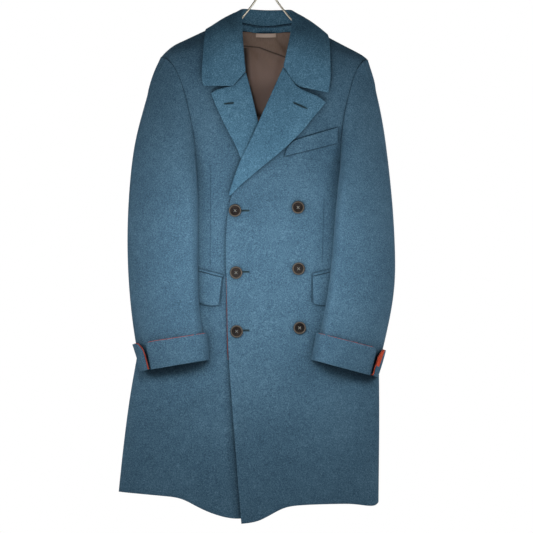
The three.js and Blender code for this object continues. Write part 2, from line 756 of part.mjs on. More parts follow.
function collarGrids() {
  const stations = evenShares(COLLAR_TURNS).map((t) => mix(COLLAR_INSET, COLLAR_END - COLLAR_INSET, t));
  const leaf = stations.map((at) => [0, ...LEAF_SHARES].map((share) => leafPoint(at, share)));
  const normals = gridNormals(leaf, false);
  const behindNeck = normals[COLLAR_TURNS / 2];
  const sign = Math.sign(behindNeck[LEAF_SHARES.length - 2].y);
  return leaf.map((row, i) => {
    const out = normals[i].map((normal) => normal.clone().multiplyScalar(sign));
    const down = row[1].clone().sub(row[0]).normalize();
    const centre = row[0].clone().addScaledVector(down, FOLD_RADIUS);
    const foldPoint = (angle, radius) => {
      const turn = (angle * Math.PI) / 180;
      return centre.clone()
        .addScaledVector(down, -radius * Math.sin(turn))
        .addScaledVector(out[0], radius * Math.cos(turn) - FOLD_RADIUS * FOLD_TUCK);
    };
    return {
      at: stations[i],
      down,
      out: out[0],
      face: [
        ...FOLD_STEPS.map((angle) => foldPoint(angle, FOLD_RADIUS)),
        ...row.slice(1),
      ],
      wrong: [
        ...FOLD_STEPS.map((angle) => foldPoint(angle, LAYER / 2)),
        ...row.slice(1).map((point, j) => point.clone().addScaledVector(out[j + 1], -WOOL)),
      ],
    };
  });
}

function collarPieces() {
  const rows = collarGrids();
  const leaf = wall(rows.map((row) => row.face), rows.map((row) => row.wrong));
  const standRows = rows.filter((row) => row.at > STAND_START && row.at < STAND_END);
  const face = [];
  const wrong = [];
  for (const row of standRows) {
    const seam = collarRail(row.at, 'seam');
    const topFace = row.face[0].clone().addScaledVector(row.down, SEAM);
    const topWrong = row.wrong[0].clone().addScaledVector(row.down, SEAM);
    const thick = topWrong.clone().sub(topFace);
    const up = topFace.clone().sub(seam).normalize();
    const lowWrong = seam.clone().addScaledVector(up, STAND_LIFT);
    const lowFace = lowWrong.clone().sub(thick);
    face.push(STAND_LEVELS.map((t) => lowFace.clone().lerp(topFace, t)));
    wrong.push(STAND_LEVELS.map((t) => lowWrong.clone().lerp(topWrong, t)));
  }
  return [
    woolNode('collar', leaf, COLLAR_BLUE),
    woolNode('collar_stand', wall(face, wrong), COLLAR_BLUE),
  ];
}

// Sleeves: stations from the armhole to the sleeve's end. Outer edge, inner edge (the visible
// front roll), the line under the arm, and how far the front and back bulge.
const SLEEVES = {
  left: [
    {
      at: 0, outX: -225.8, outZ: -223.6, outY: 5, inX: -152.7, inZ: -425,
      armX: -217, armZ: -453.7, armY: 5, front: 36, back: 36,
    },
    {
      at: 1, outX: -242, outZ: -256, outY: 6, inX: -151.2, inZ: -447,
      armX: -225, armZ: -464.5, armY: 3, front: 40, back: 34,
    },
    {
      at: 2, outX: -257, outZ: -303, outY: 8, inX: -149, inZ: -471,
      armX: -228, armZ: -479.5, armY: 1, front: 44, back: 32,
    },
    {
      at: 3, outX: -271.3, outZ: -357, outY: 9, inX: -147.3, inZ: -499,
      armX: -229.5, armZ: -501, armY: -1, front: 46, back: 30,
    },
    {
      at: 4, outX: -284.9, outZ: -410.7, outY: 9, inX: -145.6, inZ: -533,
      armX: -230.5, armZ: -533, armY: -3, front: 48, back: 28,
    },
    {
      at: 5, outX: -293.3, outZ: -477.3, outY: 8, inX: -145, inZ: -576,
      armX: -235, armZ: -580, armY: -4, front: 48, back: 26,
    },
    {
      at: 6, outX: -299.3, outZ: -559, outY: 4, inX: -145.7, inZ: -632,
      armX: -243, armZ: -640, armY: -5, front: 47, back: 24,
    },
    {
      at: 7, outX: -300.1, outZ: -653.6, outY: -2, inX: -146.2, inZ: -694.5,
      armX: -250, armZ: -705, armY: -6, front: 46, back: 21,
    },
    {
      at: 8, outX: -294.6, outZ: -741.8, outY: -8, inX: -144, inZ: -756.8,
      armX: -251, armZ: -763, armY: -8, front: 44, back: 17,
    },
    {
      at: 9, outX: -282.3, outZ: -836.4, outY: -14, inX: -135.5, inZ: -814.9,
      armX: -249, armZ: -833, armY: -13, front: 40, back: 11,
    },
    {
      at: 10, outX: -267, outZ: -900.9, outY: -22, inX: -130.5, inZ: -877.2,
      armX: -238, armZ: -893, armY: -22, front: 36, back: 8,
    },
  ],
  right: [
    {
      at: 0, outX: 218.6, outZ: -229.4, outY: 5, inX: 161.2, inZ: -425,
      armX: 206.4, armZ: -453.7, armY: 5, front: 36, back: 36,
    },
    {
      at: 1, outX: 233, outZ: -271, outY: 6, inX: 160.5, inZ: -447,
      armX: 214.5, armZ: -464.5, armY: 3, front: 40, back: 34,
    },
    {
      at: 2, outX: 246.5, outZ: -329, outY: 8, inX: 158.5, inZ: -471,
      armX: 218.5, armZ: -479.5, armY: 1, front: 44, back: 32,
    },
    {
      at: 3, outX: 257, outZ: -389, outY: 9, inX: 154.5, inZ: -501,
      armX: 221.5, armZ: -503, armY: -1, front: 46, back: 30,
    },
    {
      at: 4, outX: 265.5, outZ: -460, outY: 9, inX: 151, inZ: -537.5,
      armX: 225.5, armZ: -538, armY: -3, front: 48, back: 28,
    },
    {
      at: 5, outX: 273.5, outZ: -533, outY: 7, inX: 147, inZ: -589,
      armX: 231, armZ: -585, armY: -4, front: 48, back: 26,
    },
    {
      at: 6, outX: 278.4, outZ: -615, outY: 3, inX: 142.5, inZ: -645,
      armX: 236, armZ: -641, armY: -5, front: 47, back: 24,
    },
    {
      at: 7, outX: 280.6, outZ: -694.5, outY: -2, inX: 137.6, inZ: -698.8,
      armX: 238, armZ: -705, armY: -6, front: 46, back: 21,
    },
    {
      at: 8, outX: 273, outZ: -761, outY: -8, inX: 129, inZ: -754.7,
      armX: 232, armZ: -763, armY: -8, front: 44, back: 17,
    },
    {
      at: 9, outX: 253.7, outZ: -849.3, outY: -14, inX: 117.2, inZ: -814.9,
      armX: 221, armZ: -838, armY: -13, front: 40, back: 11,
    },
    {
      at: 10, outX: 236.5, outZ: -913.8, outY: -22, inX: 105.1, inZ: -877.8,
      armX: 207, armZ: -903, armY: -22, front: 36, back: 8,
    },
  ],
};
// How closely each station keeps to the armhole's own shape
const FRONT_HOLD = [
  { at: 0, hold: 1 }, { at: 1, hold: 0.8 }, { at: 2, hold: 0.5 }, { at: 3, hold: 0.2 },
  { at: 4, hold: 0 },
];
const BACK_HOLD = [
  { at: 0, hold: 1 }, { at: 1, hold: 0.5 }, { at: 2, hold: 0.15 }, { at: 3, hold: 0 },
];
const SLEEVE_STEPS = [0.45, 0.9, 1.4, 2, 2.8, 3.6, 4.4, 5.3, 6.2, 7.1, 8, 8.6, 9.08, 9.54, 9.95];
const FRONT_STEPS = 10; // round the front, from the outer edge to the inner edge
const UNDER_SHARES = [0.2, 0.4, 0.58, 0.74, 0.86, 0.94, 1]; // from there to the line under the arm
const ARM_STEP = FRONT_STEPS + UNDER_SHARES.length;
const RING_STEPS = ARM_STEP + BACK_ANGLES.length - 1; // and round the back to the outer edge
const TOP_SEAM_START = 1; // the top sleeve's seams, counted round the loop
const TOP_SEAM_END = 13;
const CUFF_ROOM = 4.5; // the sleeve stands this much further off where its cuff is
const CUFF_START = [8.2, 9]; // stations over which it does
const BACK_REACH = [0.4, 2]; // stations over which the sleeve's back comes clear of the body
const LIMIT_ROOM = 6; // how far past the body's side a sleeve still keeps in front of it
const HEAD_CLEAR = 5.4; // clearance from the body below the armpit
const HEAD_FOOT = 8; // how far above the armpit that clearance starts
const FRONT_FREE = 4; // steps of the front that keep to the outer edge
const LOOP_AIM = 60; // how far out from the armhole the way into its opening is judged

// Furthest back that a sleeve may lie where it hangs in front of the body
function bodyLimit(x, z, gap) {
  const at = section(z);
  const half = at.half + LIMIT_ROOM;
  const across = Math.abs(x - at.middle) / half;
  if (across < 1) {
    const edge = Math.max(0, 1 - across * across);
    const depth = at.front * Math.sqrt(1 - across ** ROUND_POWER);
    return SIDE_Y - depth - foldRise(x, z, -1) * edge - gap;
  }
  return SIDE_Y + (Math.abs(x - at.middle) - half) - gap;
}

// One closed loop of the sleeve: front, fold at the inner edge, under the arm, back
function sleeveRing(name, at) {
  const read = (key) => column(SLEEVES[name], key, at);
  const gap = SLEEVE_GAP + CUFF_ROOM * smooth(...CUFF_START, at);
  const out = vec(read('outX'), read('outY'), read('outZ'));
  const inner = vec(read('inX'), 0, read('inZ'));
  const under = vec(read('armX'), read('armY'), read('armZ'));
  inner.y = bodyLimit(inner.x, inner.z, gap) - SLEEVE_ROLL;
  const ring = [];
  for (let j = 0; j <= FRONT_STEPS; j += 1) {
    const turn = (j / FRONT_STEPS) * Math.PI;
    const point = out.clone().lerp(inner, (1 - Math.cos(turn)) / 2);
    point.y -= read('front') * Math.sin(turn);
    ring.push(point);
  }
  for (const share of UNDER_SHARES) {
    const point = inner.clone().lerp(under, share);
    const roll = SLEEVE_ROLL * (1 - share) ** 2;
    point.y = Math.min(point.y, bodyLimit(point.x, point.z, gap) - roll);
    ring.push(point);
  }
  for (const angle of BACK_ANGLES.slice(1, -1)) {
    const turn = ((180 - angle) * Math.PI) / 180;
    const point = ring[ARM_STEP].clone().lerp(out, (1 - Math.cos(turn)) / 2);
    point.y += read('back') * Math.sin(turn);
    if (point.z < ARMHOLES[name].bottom) {
      const limit = Math.min(point.y, bodyLimit(point.x, point.z, gap));
      point.y = mix(point.y, limit, smooth(...BACK_REACH, at));
    }
    ring.push(point);
  }
  return ring;
}

// The armhole loop on the body's outer surface, with the direction into the opening
function armholeLoop(name) {
  const arm = ARMHOLES[name];
  const loop = FRONT_ANGLES.map((angle) => ({ ...armholePoint(arm, angle, 'front'), side: -1 }));
  for (const angle of BACK_ANGLES.slice(1, -1)) {
    loop.push({ ...armholePoint(arm, angle, 'back'), side: 1 });
  }
  const points = loop.map((p) => onForm(p.x, p.z, p.side, 0));
  const centre = points[0].clone().add(points[ARM_STEP]).multiplyScalar(0.5);
  centre.x += name === 'left' ? -LOOP_AIM : LOOP_AIM;
  return points.map((point, j) => {
    const next = points[(j + 1) % points.length];
    const before = points[(j + points.length - 1) % points.length];
    const outward = formNormal(point, loop[j].side);
    const opening = next.clone().sub(before).cross(outward).normalize();
    if (opening.dot(centre.clone().sub(point)) < 0) {
      opening.negate();
    }
    return { point, outward, opening };
  });
}

const SLEEVE_FORMS = {};
for (const name of ['left', 'right']) {
  SLEEVE_FORMS[name] = { loop: armholeLoop(name), first: sleeveRing(name, 0) };
}

// The sleeve's finished loop: it leaves the armhole's own shape and keeps clear of the body
function sleeveLoop(name, at) {
  const { loop, first } = SLEEVE_FORMS[name];
  return sleeveRing(name, at).map((point, j) => {
    const hold = column(j <= ARM_STEP ? FRONT_HOLD : BACK_HOLD, 'hold', at);
    const moved = point.clone().addScaledVector(loop[j].point.clone().sub(first[j]), hold);
    if (j >= FRONT_FREE && j < ARM_STEP) {
      moved.y = Math.min(moved.y, bodyLimit(moved.x, moved.z, SLEEVE_GAP * smooth(0, 1, at)));
    }
    if (moved.z > ARMHOLES[name].bottom + HEAD_FOOT) {
      return moved;
    }
    const clear = mix(HEAD_CLEAR, SLEEVE_GAP - 1, smooth(1, 4, at));
    return pushOut(moved, moved.y > SIDE_Y ? 1 : -1, clear);
  });
}

function sleevePieces(name) {
  const { loop } = SLEEVE_FORMS[name];
  const grid = [-WOOL, LAYER].map((lift) => loop.map(
    (p) => p.point.clone().addScaledVector(p.outward, lift).addScaledVector(p.opening, ARM_SEAM),
  ));
  grid.push(...SLEEVE_STEPS.map((at) => sleeveLoop(name, at)));
  const normals = outwardNormals(grid);
  const seamStep = (i, j, toward) => {
    const there = grid[i][(j + toward + RING_STEPS) % RING_STEPS].clone();
    return there.sub(grid[i][j]).normalize().multiplyScalar(SEAM / 2);
  };
  const strip = (from, to) => {
    const face = grid.map((row, i) => {
      const line = [];
      for (let j = from; j <= to; j += 1) {
        const place = j % RING_STEPS;
        const toward = Number(j === from) - Number(j === to);
        const shift = toward === 0 ? vec(0, 0, 0) : seamStep(i, place, toward);
        line.push(row[place].clone().add(shift));
      }
      return line;
    });
    const wrong = face.map((row, i) => row.map(
      (point, k) => point.clone().addScaledVector(normals[i][(from + k) % RING_STEPS], -WOOL),
    ));
    return wall(face, wrong);
  };
  return [
    woolNode(`sleeve_top_${name}`, strip(TOP_SEAM_START, TOP_SEAM_END)),
    woolNode(`sleeve_under_${name}`, strip(TOP_SEAM_END, RING_STEPS + TOP_SEAM_START)),
  ];
}

function outwardNormals(grid) {
  const normals = gridNormals(grid, true);
  const row = Math.floor(grid.length / 2);
  const middle = vec(0, 0, 0);
  grid[row].forEach((point) => middle.addScaledVector(point, 1 / grid[row].length));
  const front = Math.floor(FRONT_STEPS / 2);
  if (normals[row][front].dot(grid[row][front].clone().sub(middle)) < 0) {
    normals.flat().forEach((normal) => normal.negate());
  }
  return normals;
}

// Turned-back cuffs: a band round the sleeve's end, open at a slit near its outer edge
// "turn" is the sign that makes a loop's normals point outwards.
const CUFFS = {
  left: { slit: 2.62, top: 9.08, turn: -1 },
  right: { slit: 2.2, top: 9.08, turn: 1 },
};
const CUFF_ROWS = 3;
const CUFF_OPEN = 0.22; // width of the slit, in steps of the loop
const CORNER_MOST = 1.8; // most that an offset grows at a sharp corner
const CUFF_CLEAR = 2.6; // clearance of the turned-back felt from the sleeve
const CUFF_FLARE = 7; // how far the rear corner stands off the sleeve
const FACING_SHOWS = 0.025; // the felt's edge past the wool's, in stations
const CUFF_FOOT = 10; // station of the cuff's fold, at the sleeve's end
const NEAR_STATION = 0.12; // steps for slopes of the sleeve
const NEAR_PLACE = 0.5;
// Round corners at the slit: their width in steps of the loop, height in stations, columns
const FRONT_CORNER = { width: 0.45, height: 0.12, columns: [0, 0.15, 0.45] };
const REAR_CORNER = { width: 1.05, height: 0.36, columns: [1.05, 0.7, 0.4, 0.15, 0] };
const CORNER_ROOM = 0.15; // least distance from a corner's columns to the next one

function cornerDrop(corner, distance) {
  const inside = 1 - Math.min(1, distance / corner.width);
  return corner.height * (1 - Math.sqrt(1 - inside ** 2));
}

function cuffPoint(name, at, place) {
  const rows = [at - NEAR_STATION, at, at + NEAR_STATION].map((row) => sleeveLoop(name, row));
  const read = (ring, u) => {
    const low = Math.floor(u);
    const a = ring[((low % RING_STEPS) + RING_STEPS) % RING_STEPS];
    const b = ring[(((low + 1) % RING_STEPS) + RING_STEPS) % RING_STEPS];
    return a.clone().lerp(b, u - low);
  };
  const point = read(rows[1], place);
  const along = read(rows[2], place).sub(read(rows[0], place));
  const ahead = read(rows[1], place + NEAR_PLACE).sub(point).normalize();
  const round = point.clone().sub(read(rows[1], place - NEAR_PLACE)).normalize().add(ahead);
  // At a corner the offset grows, so that both sides keep their distance
  const corner = Math.min(CORNER_MOST, 2 / round.length());
  const normal = round.cross(along).normalize();
  return { point, normal: normal.multiplyScalar(CUFFS[name].turn * corner) };
}

function cuffWall(name, low, high, extra) {
  const { slit, top } = CUFFS[name];
  const start = slit + CUFF_OPEN / 2 - extra * 2;
  const end = slit + RING_STEPS - CUFF_OPEN / 2 + extra * 2;
  const first = Math.ceil(start + FRONT_CORNER.width + CORNER_ROOM);
  const last = end - REAR_CORNER.width - CORNER_ROOM;
  const places = FRONT_CORNER.columns.map((step) => start + step);
  for (let j = first; j < last; j += 1) {
    places.push(j);
  }
  places.push(...REAR_CORNER.columns.map((step) => end - step));
  const face = [];
  const wrong = [];
  for (const place of places) {
    const corners = cornerDrop(FRONT_CORNER, place - start) + cornerDrop(REAR_CORNER, end - place);
    const rise = top - extra + corners;
    const flare = CUFF_FLARE * (1 - smooth(0, 2, end - place));
    const line = evenShares(CUFF_ROWS - 1).map((t) => {
      const { point, normal } = cuffPoint(name, mix(rise, CUFF_FOOT + extra, t), place);
      return [low, high].map((lift) => point.clone().addScaledVector(normal, lift + flare));
    });
    face.push(line.map((pair) => pair[1]));
    wrong.push(line.map((pair) => pair[0]));
  }
  return wall(face, wrong);
}

function cuffPieces(name) {
  const feltTop = CUFF_CLEAR + FELT;
  const facing = cuffWall(name, CUFF_CLEAR, feltTop, FACING_SHOWS);
  const cuff = cuffWall(name, feltTop + LAYER, feltTop + LAYER + WOOL, 0);
  return [
    woolNode(`cuff_${name}`, cuff),
    node(`cuff_facing_${name}`, facing, FELT_ORANGE, 0.9),
  ];
}

// Pockets: flaps under their jets, and the slanting welt on the chest
function layOn(grid, lift, clear, thick) {
  const at = (p, more) => onForm(p.x, p.z, -1, lift(p.x, p.z) + clear + more);
  return wall(
    grid.map((row) => row.map((p) => at(p, thick))),
    grid.map((row) => row.map((p) => at(p, 0))),
  );
}

function quadPatch(lowA, lowB, highB, highA, rows, cols) {
  const left = evenShares(rows).map(path([lowA, highA]));
  const right = evenShares(rows).map(path([lowB, highB]));
  return patch(left, right, path([lowA, lowB]), path([highA, highB]), evenShares(cols));
}

const POCKET_THICK = 2.2;
const JET_THICK = 2.6;
const POCKETS = {
  left: {
    lift: noLift,
    jet: [flat(-202, -671), flat(-91.4, -699), flat(-91.4, -694.5), flat(-202, -666.4)],
    side: [flat(-94.5, -699.5), flat(-100.5, -751)],
    bottom: [flat(-102, -759), flat(-106, -763.5), flat(-112, -763.5), flat(-202, -737)],
    outer: [flat(-202, -672.4), flat(-202, -737)],
  },
  right: {
    lift: overLift,
    jet: [flat(100.2, -696.6), flat(202, -671.8), flat(202, -667), flat(100.2, -691.3)],
    side: [flat(100.2, -697.6), flat(101, -748)],
    bottom: [flat(102.5, -755.5), flat(106, -760), flat(112, -761.5), flat(202, -748)],
    outer: [flat(202, -672.8), flat(202, -748)],
  },
};
const FLAP_ROWS = 5;
const FLAP_COLS = 6;

function pocketPieces(name) {
  const { lift, jet, side, bottom, outer } = POCKETS[name];
  const corner = bottom[0];
  const inner = evenShares(FLAP_ROWS).map(path([corner, side[1], side[0]]));
  const far = evenShares(FLAP_ROWS).map(path([outer[1], outer[0]]));
  const top = path([side[0], outer[0]]);
  const flap = patch(inner, far, path(bottom), top, evenShares(FLAP_COLS));
  const strip = quadPatch(...jet, 1, FLAP_COLS);
  return [
    woolNode(`flap_${name}`, layOn(flap, lift, POCKET_GAP, POCKET_THICK)),
    woolNode(`jet_${name}`, layOn(strip, lift, POCKET_GAP, JET_THICK)),
  ];
}

// The welt's inner end runs along the lapel's free edge
const WELT = {
  inner: [flat(39.8, -438.8), flat(43, -424), flat(57, -405.5)],
  outer: [flat(153.9, -410.4), flat(155, -376.3)],
  rows: 3,
  cols: 6,
};

function breastWelt() {
  const inner = evenShares(WELT.rows).map(path(WELT.inner));
  const outer = evenShares(WELT.rows).map(path(WELT.outer));
  const foot = path([WELT.inner[0], WELT.outer[0]]);
  const top = path([WELT.inner[2], WELT.outer[1]]);
  const grid = patch(inner, outer, foot, top, evenShares(WELT.cols));
  return woolNode('breast_welt', layOn(grid, overLift, POCKET_GAP, POCKET_THICK));
}

// Inside the neck: the facing strip, the lining where it shows, and the hanging loop
const STRIP_HALF = 60;
const STRIP_HEIGHT = 13;
const STRIP_THICK = 1.2;
const STRIP_DROP = 1.5; // how far the strip's top is below the back's neck edge
const STRIP_COLS = 12;
const INSIDE_GAP = 1.4; // clearance inside the back's strong curve below the neck
const LINING_HALF = 112;
const LINING_FOOT = -425;
const LINING_SLOPE = 0.62; // how fast its top falls beside the strip
const LINING_ROWS = 7;
const LINING_COLS = 8;
const LOOP_HALF = 22.5;
const LOOP_TOP = -169.5;
const LOOP_HEIGHT = 9;
const LOOP_BULGE = 5;
const LOOP_THICK = 1;
const LOOP_COLS = 8;
const LOOP_CLEAR = 1.2; // clearance of the loop's ends from the lining

const insideBack = (x, z, deep) => onForm(x, z, 1, -deep);

function insideWall(grid, near, far) {
  return wall(
    grid.map((row) => row.map((p) => insideBack(p.x, p.z, far))),
    grid.map((row) => row.map((p) => insideBack(p.x, p.z, near))),
  );
}

function neckPieces() {
  const start = WOOL + INSIDE_GAP;
  const stripTop = (x) => backNeck(x) - STRIP_DROP;
  const stripFoot = (x) => stripTop(x) - STRIP_HEIGHT;
  const across = (half, count) => evenShares(count).map((t) => mix(-half, half, t));
  const strip = [stripFoot, stripTop].map((edge) => across(STRIP_HALF, STRIP_COLS).map(
    (x) => flat(x, edge(x)),
  ));
  const liningTop = (x) => {
    const inner = stripFoot(Math.max(-STRIP_HALF, Math.min(STRIP_HALF, x))) - 1;
    return inner - Math.max(0, Math.abs(x) - STRIP_HALF) * LINING_SLOPE;
  };
  const lining = evenShares(LINING_ROWS).map((t) => across(LINING_HALF, LINING_COLS).map(
    (x) => flat(x, mix(LINING_FOOT, liningTop(x), t)),
  ));
  const loopRow = (z, deep) => across(LOOP_HALF, LOOP_COLS).map((x) => {
    const bulge = LOOP_BULGE * (1 - (x / LOOP_HALF) ** 2);
    return insideBack(x, z, deep + bulge);
  });
  const levels = [LOOP_TOP - LOOP_HEIGHT, LOOP_TOP];
  const loopStart = start + STRIP_THICK + LOOP_CLEAR;
  return [
    woolNode('neck_facing', insideWall(strip, start, start + STRIP_THICK), COLLAR_BLUE),
    node('lining_back', insideWall(lining, start, start + LINING), LINING_BROWN, 0.55),
    node('hanging_loop', wall(
      levels.map((z) => loopRow(z, loopStart + LOOP_THICK)),
      levels.map((z) => loopRow(z, loopStart)),
    ), LOOP_BROWN, 0.6),
  ];
}

// Buttons: a turned disc with a rim, a dished middle and four holes. The gap is the clearance
// of each button's foot from the form, which curves up a little round it.
const BUTTONS = [
  { name: 'button_1', x: -66.2, z: -555.8, gap: 0.4 },
  { name: 'button_2', x: -64.1, z: -689.1, gap: 0.4 },
  { name: 'button_3', x: -63, z: -815.5, gap: 0.4 },
  { name: 'button_4', x: 68.6, z: -548.9, gap: 1.2 },
  { name: 'button_5', x: 69.7, z: -680.7, gap: 0.4 },
  { name: 'button_6', x: 72.2, z: -808, gap: 0.4 },
];
const BUTTON_SIDES = 16;
const HOLE_SIDES = 6;
// Half section of the button: distance from its axis, height above its foot
const BUTTON_PROFILE = [
  { across: 0, high: 0 },
  { across: BUTTON_RADIUS * 0.8, high: 0 },
  { across: BUTTON_RADIUS, high: 1.4 },
  { across: BUTTON_RADIUS, high: 3.4 },
  { across: BUTTON_RADIUS - 1.4, high: BUTTON_THICK },
  { across: BUTTON_RADIUS - 3, high: BUTTON_THICK - 0.4 },
  { across: BUTTON_RADIUS - 4.4, high: BUTTON_THICK - 1.5 },
  { across: 0, high: BUTTON_THICK - 1.5 },
];

function solidFrom(geometry) {
  const bare = geometry.clone();
  bare.deleteAttribute('normal');
  bare.deleteAttribute('uv');
  const merged = mergeVertices(bare, 1e-4);
  return new wasm.Manifold(new wasm.Mesh({
    numProp: 3,
    vertProperties: new Float32Array(merged.attributes.position.array),
    triVerts: new Uint32Array(merged.index.array),
  }));
}

function geometryFrom(solid) {
  const mesh = solid.getMesh();
  const geometry = new THREE.BufferGeometry();
  geometry.setAttribute('position', new THREE.BufferAttribute(mesh.vertProperties, 3));
  geometry.setIndex(new THREE.BufferAttribute(mesh.triVerts, 1));
  geometry.computeVertexNormals();
  return geometry;
}

function buttonGeometry() {
  const profile = BUTTON_PROFILE.map(({ across, high }) => new THREE.Vector2(across, high));
  let solid = solidFrom(new THREE.LatheGeometry(profile, BUTTON_SIDES));
  for (let k = 0; k < 4; k += 1) {
    const turn = Math.PI / 4 + (k * Math.PI) / 2;
    const [radius, length] = [BUTTON_HOLE_RADIUS, 2 * BUTTON_THICK];
    const hole = new THREE.CylinderGeometry(radius, radius, length, HOLE_SIDES);
    hole.translate(
      BUTTON_HOLE_PLACE * Math.cos(turn),
      BUTTON_THICK / 2,
      BUTTON_HOLE_PLACE * Math.sin(turn),
    );
    solid = solid.subtract(solidFrom(hole));
  }
  return geometryFrom(solid);
}

function buttonNodes() {
  const geometry = buttonGeometry();
  return BUTTONS.map(({ name, x, z, gap }) => {
    const button = node(name, geometry.clone(), HORN_BROWN, 0.35);
    const seat = onForm(x, z, -1, overLift(x, z) + gap);
    const outward = formNormal(vec(x, formY(x, z, -1), z), -1);
    button.position.copy(seat);
    button.quaternion.setFromUnitVectors(vec(0, 1, 0), outward);
    return button;
  });
}

// Hanger: a hook, a ferrule, and one bent wire whose arms lie along the inside of the shoulders
const NECK_BEND = -76; // centre line of the wire where the two arms meet
const FERRULE_RADIUS = 3.6;
const FERRULE_HEIGHT = 11;
const ARM_FREE = [
  vec(9, 0, -83), vec(26, 0.5, -107), vec(51, 2, -139), vec(66, 3.5, -154.5), vec(84, 5, -164),
];
const ARM_SEATED = [112, 140, 168, 194];
const ARM_TIP = 204;
const ARM_END_DROP = 6;
const ARM_STEPS = 32;
const BEND_START = 200; // the hook's bend, in degrees from +X, and its step and count
const BEND_STEP = -26;
const BEND_COUNT = 10;
const HOOK_STEM = [vec(1.2, 0, -46), vec(0, 0, -52)];
const HOOK_STEPS = 26;
const FERRULE_SIDES = 12;
const WIRE_CLEAR = 1.8; // clearance of the arms from the shoulders' cloth
const WIRE_SEGMENTS = 4;

function wire(points, steps) {
  const circle = new THREE.Shape();
  circle.absarc(0, 0, WIRE_RADIUS, 0, Math.PI * 2, false);
  const curve = new THREE.CatmullRomCurve3(points, false, 'centripetal');
  const geometry = new THREE.ExtrudeGeometry(circle, {
    steps,
    curveSegments: WIRE_SEGMENTS,
    extrudePath: curve,
    bevelEnabled: false,
  });
  return geometryFrom(solidFrom(geometry));
}

function hangerPieces() {
  const seat = (x) => vec(x, SIDE_Y, shoulderTop(x) - WOOL - WIRE_RADIUS - WIRE_CLEAR);
  const tip = (sign) => seat(ARM_TIP * sign).add(vec(0, 0, -ARM_END_DROP));
  const side = (sign) => [
    ...ARM_FREE.map((p) => vec(p.x * sign, p.y, p.z)),
    ...ARM_SEATED.map((x) => seat(x * sign)),
    tip(sign),
  ];
  const arms = [...side(-1).reverse(), vec(0, 0, NECK_BEND), ...side(1)];
  const [radius, height] = [FERRULE_RADIUS, FERRULE_HEIGHT];
  const ferrule = new THREE.CylinderGeometry(radius, radius, height, FERRULE_SIDES);
  ferrule.rotateX(Math.PI / 2);
  const ferruleFoot = NECK_BEND + WIRE_RADIUS + SEAM;
  ferrule.translate(0, 0, ferruleFoot + FERRULE_HEIGHT / 2);
  const stemFoot = ferruleFoot + FERRULE_HEIGHT + SEAM;
  const bend = evenShares(BEND_COUNT).map((t) => {
    const turn = ((BEND_START + BEND_STEP * BEND_COUNT * t) * Math.PI) / 180;
    const high = HOOK_RADIUS * Math.sin(turn) - (HOOK_RADIUS - WIRE_RADIUS);
    return vec(HOOK_RADIUS * Math.cos(turn), 0, high);
  });
  const hook = [...bend, ...HOOK_STEM, vec(0, 0, stemFoot)];
  return [
    node('hanger_hook', wire(hook, HOOK_STEPS), WIRE_GREY, 0.35, 0.9),
    node('hanger_ferrule', ferrule, WIRE_GREY, 0.35, 0.9),
    node('hanger_arms', wire(arms, ARM_STEPS), WIRE_GREY, 0.35, 0.9),
  ];
}

const coat = new THREE.Group();
coat.name = 'coat';
coat.add(woolNode('back', backPanel()));
coat.add(woolNode('front_under', frontPanel(FRONTS.under)));
coat.add(woolNode('front_over', frontPanel(FRONTS.over)));
coat.add(woolNode('lapel_over', lapelWall(OVER_LAPEL, overLift), COLLAR_BLUE));
coat.add(woolNode('lapel_under', lapelWall(UNDER_LAPEL, noLift), COLLAR_BLUE));
coat.add(...collarPieces());
for (const name of ['left', 'right']) {
  coat.add(...sleevePieces(name), ...cuffPieces(name), ...pocketPieces(name));
}
coat.add(breastWelt(), ...neckPieces(), ...buttonNodes(), ...hangerPieces());

export default coat;
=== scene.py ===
"""Double-breasted wool coat on a wire hanger: cloth, sewing, buttons, light and camera."""

import logging
import math
from dataclasses import dataclass, field
from enum import Enum

import bmesh
import bpy
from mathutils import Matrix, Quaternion, Vector
from mathutils.bvhtree import BVHTree


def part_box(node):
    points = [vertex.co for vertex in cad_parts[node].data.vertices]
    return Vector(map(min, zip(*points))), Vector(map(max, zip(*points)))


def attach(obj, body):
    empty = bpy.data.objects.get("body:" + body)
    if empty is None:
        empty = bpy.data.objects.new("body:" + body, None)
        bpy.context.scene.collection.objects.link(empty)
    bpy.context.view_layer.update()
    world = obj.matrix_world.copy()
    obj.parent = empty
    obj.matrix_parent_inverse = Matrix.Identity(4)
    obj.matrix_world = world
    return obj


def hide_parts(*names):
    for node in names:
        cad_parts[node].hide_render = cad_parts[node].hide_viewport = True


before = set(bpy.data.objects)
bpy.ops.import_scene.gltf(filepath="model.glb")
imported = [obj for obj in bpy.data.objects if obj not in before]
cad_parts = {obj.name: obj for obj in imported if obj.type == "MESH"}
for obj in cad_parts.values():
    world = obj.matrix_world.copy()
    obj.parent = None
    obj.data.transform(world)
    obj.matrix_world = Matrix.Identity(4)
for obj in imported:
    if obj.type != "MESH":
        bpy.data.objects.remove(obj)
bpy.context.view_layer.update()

logging.basicConfig(level=logging.INFO, format="%(message)s")
LOG = logging.getLogger("coat")
# The plane between the coat's front half and its back half
SIDE_Y = 0.005
# How far from that plane a crease reaches its full height
CREASE_FADE = 0.018
# Doubles in a CAD node's loose triangles are nearer than this
DOUBLES = 2e-6


class Slot(str, Enum):
    """The record's material slots."""

    WOOL = "wool"
    # A lighter copy of the wool for the collar and lapels: painted light
    WOOL_PAINTED_LIGHT = "wool_light"
    LINING = "lining"
    TAPE = "loop_tape"
    FELT = "orange_felt"
    HORN = "button_horn"
    METAL = "hanger_metal"


class Side(Enum):
    """Which half of the coat a crease lies on, as the sign of its depth."""

    FRONT = -1
    BACK = 1


Colour = tuple[float, float, float, float]
Row = tuple[float, float, float, float, float, float]
Value = bpy.types.NodeSocket | float | Colour


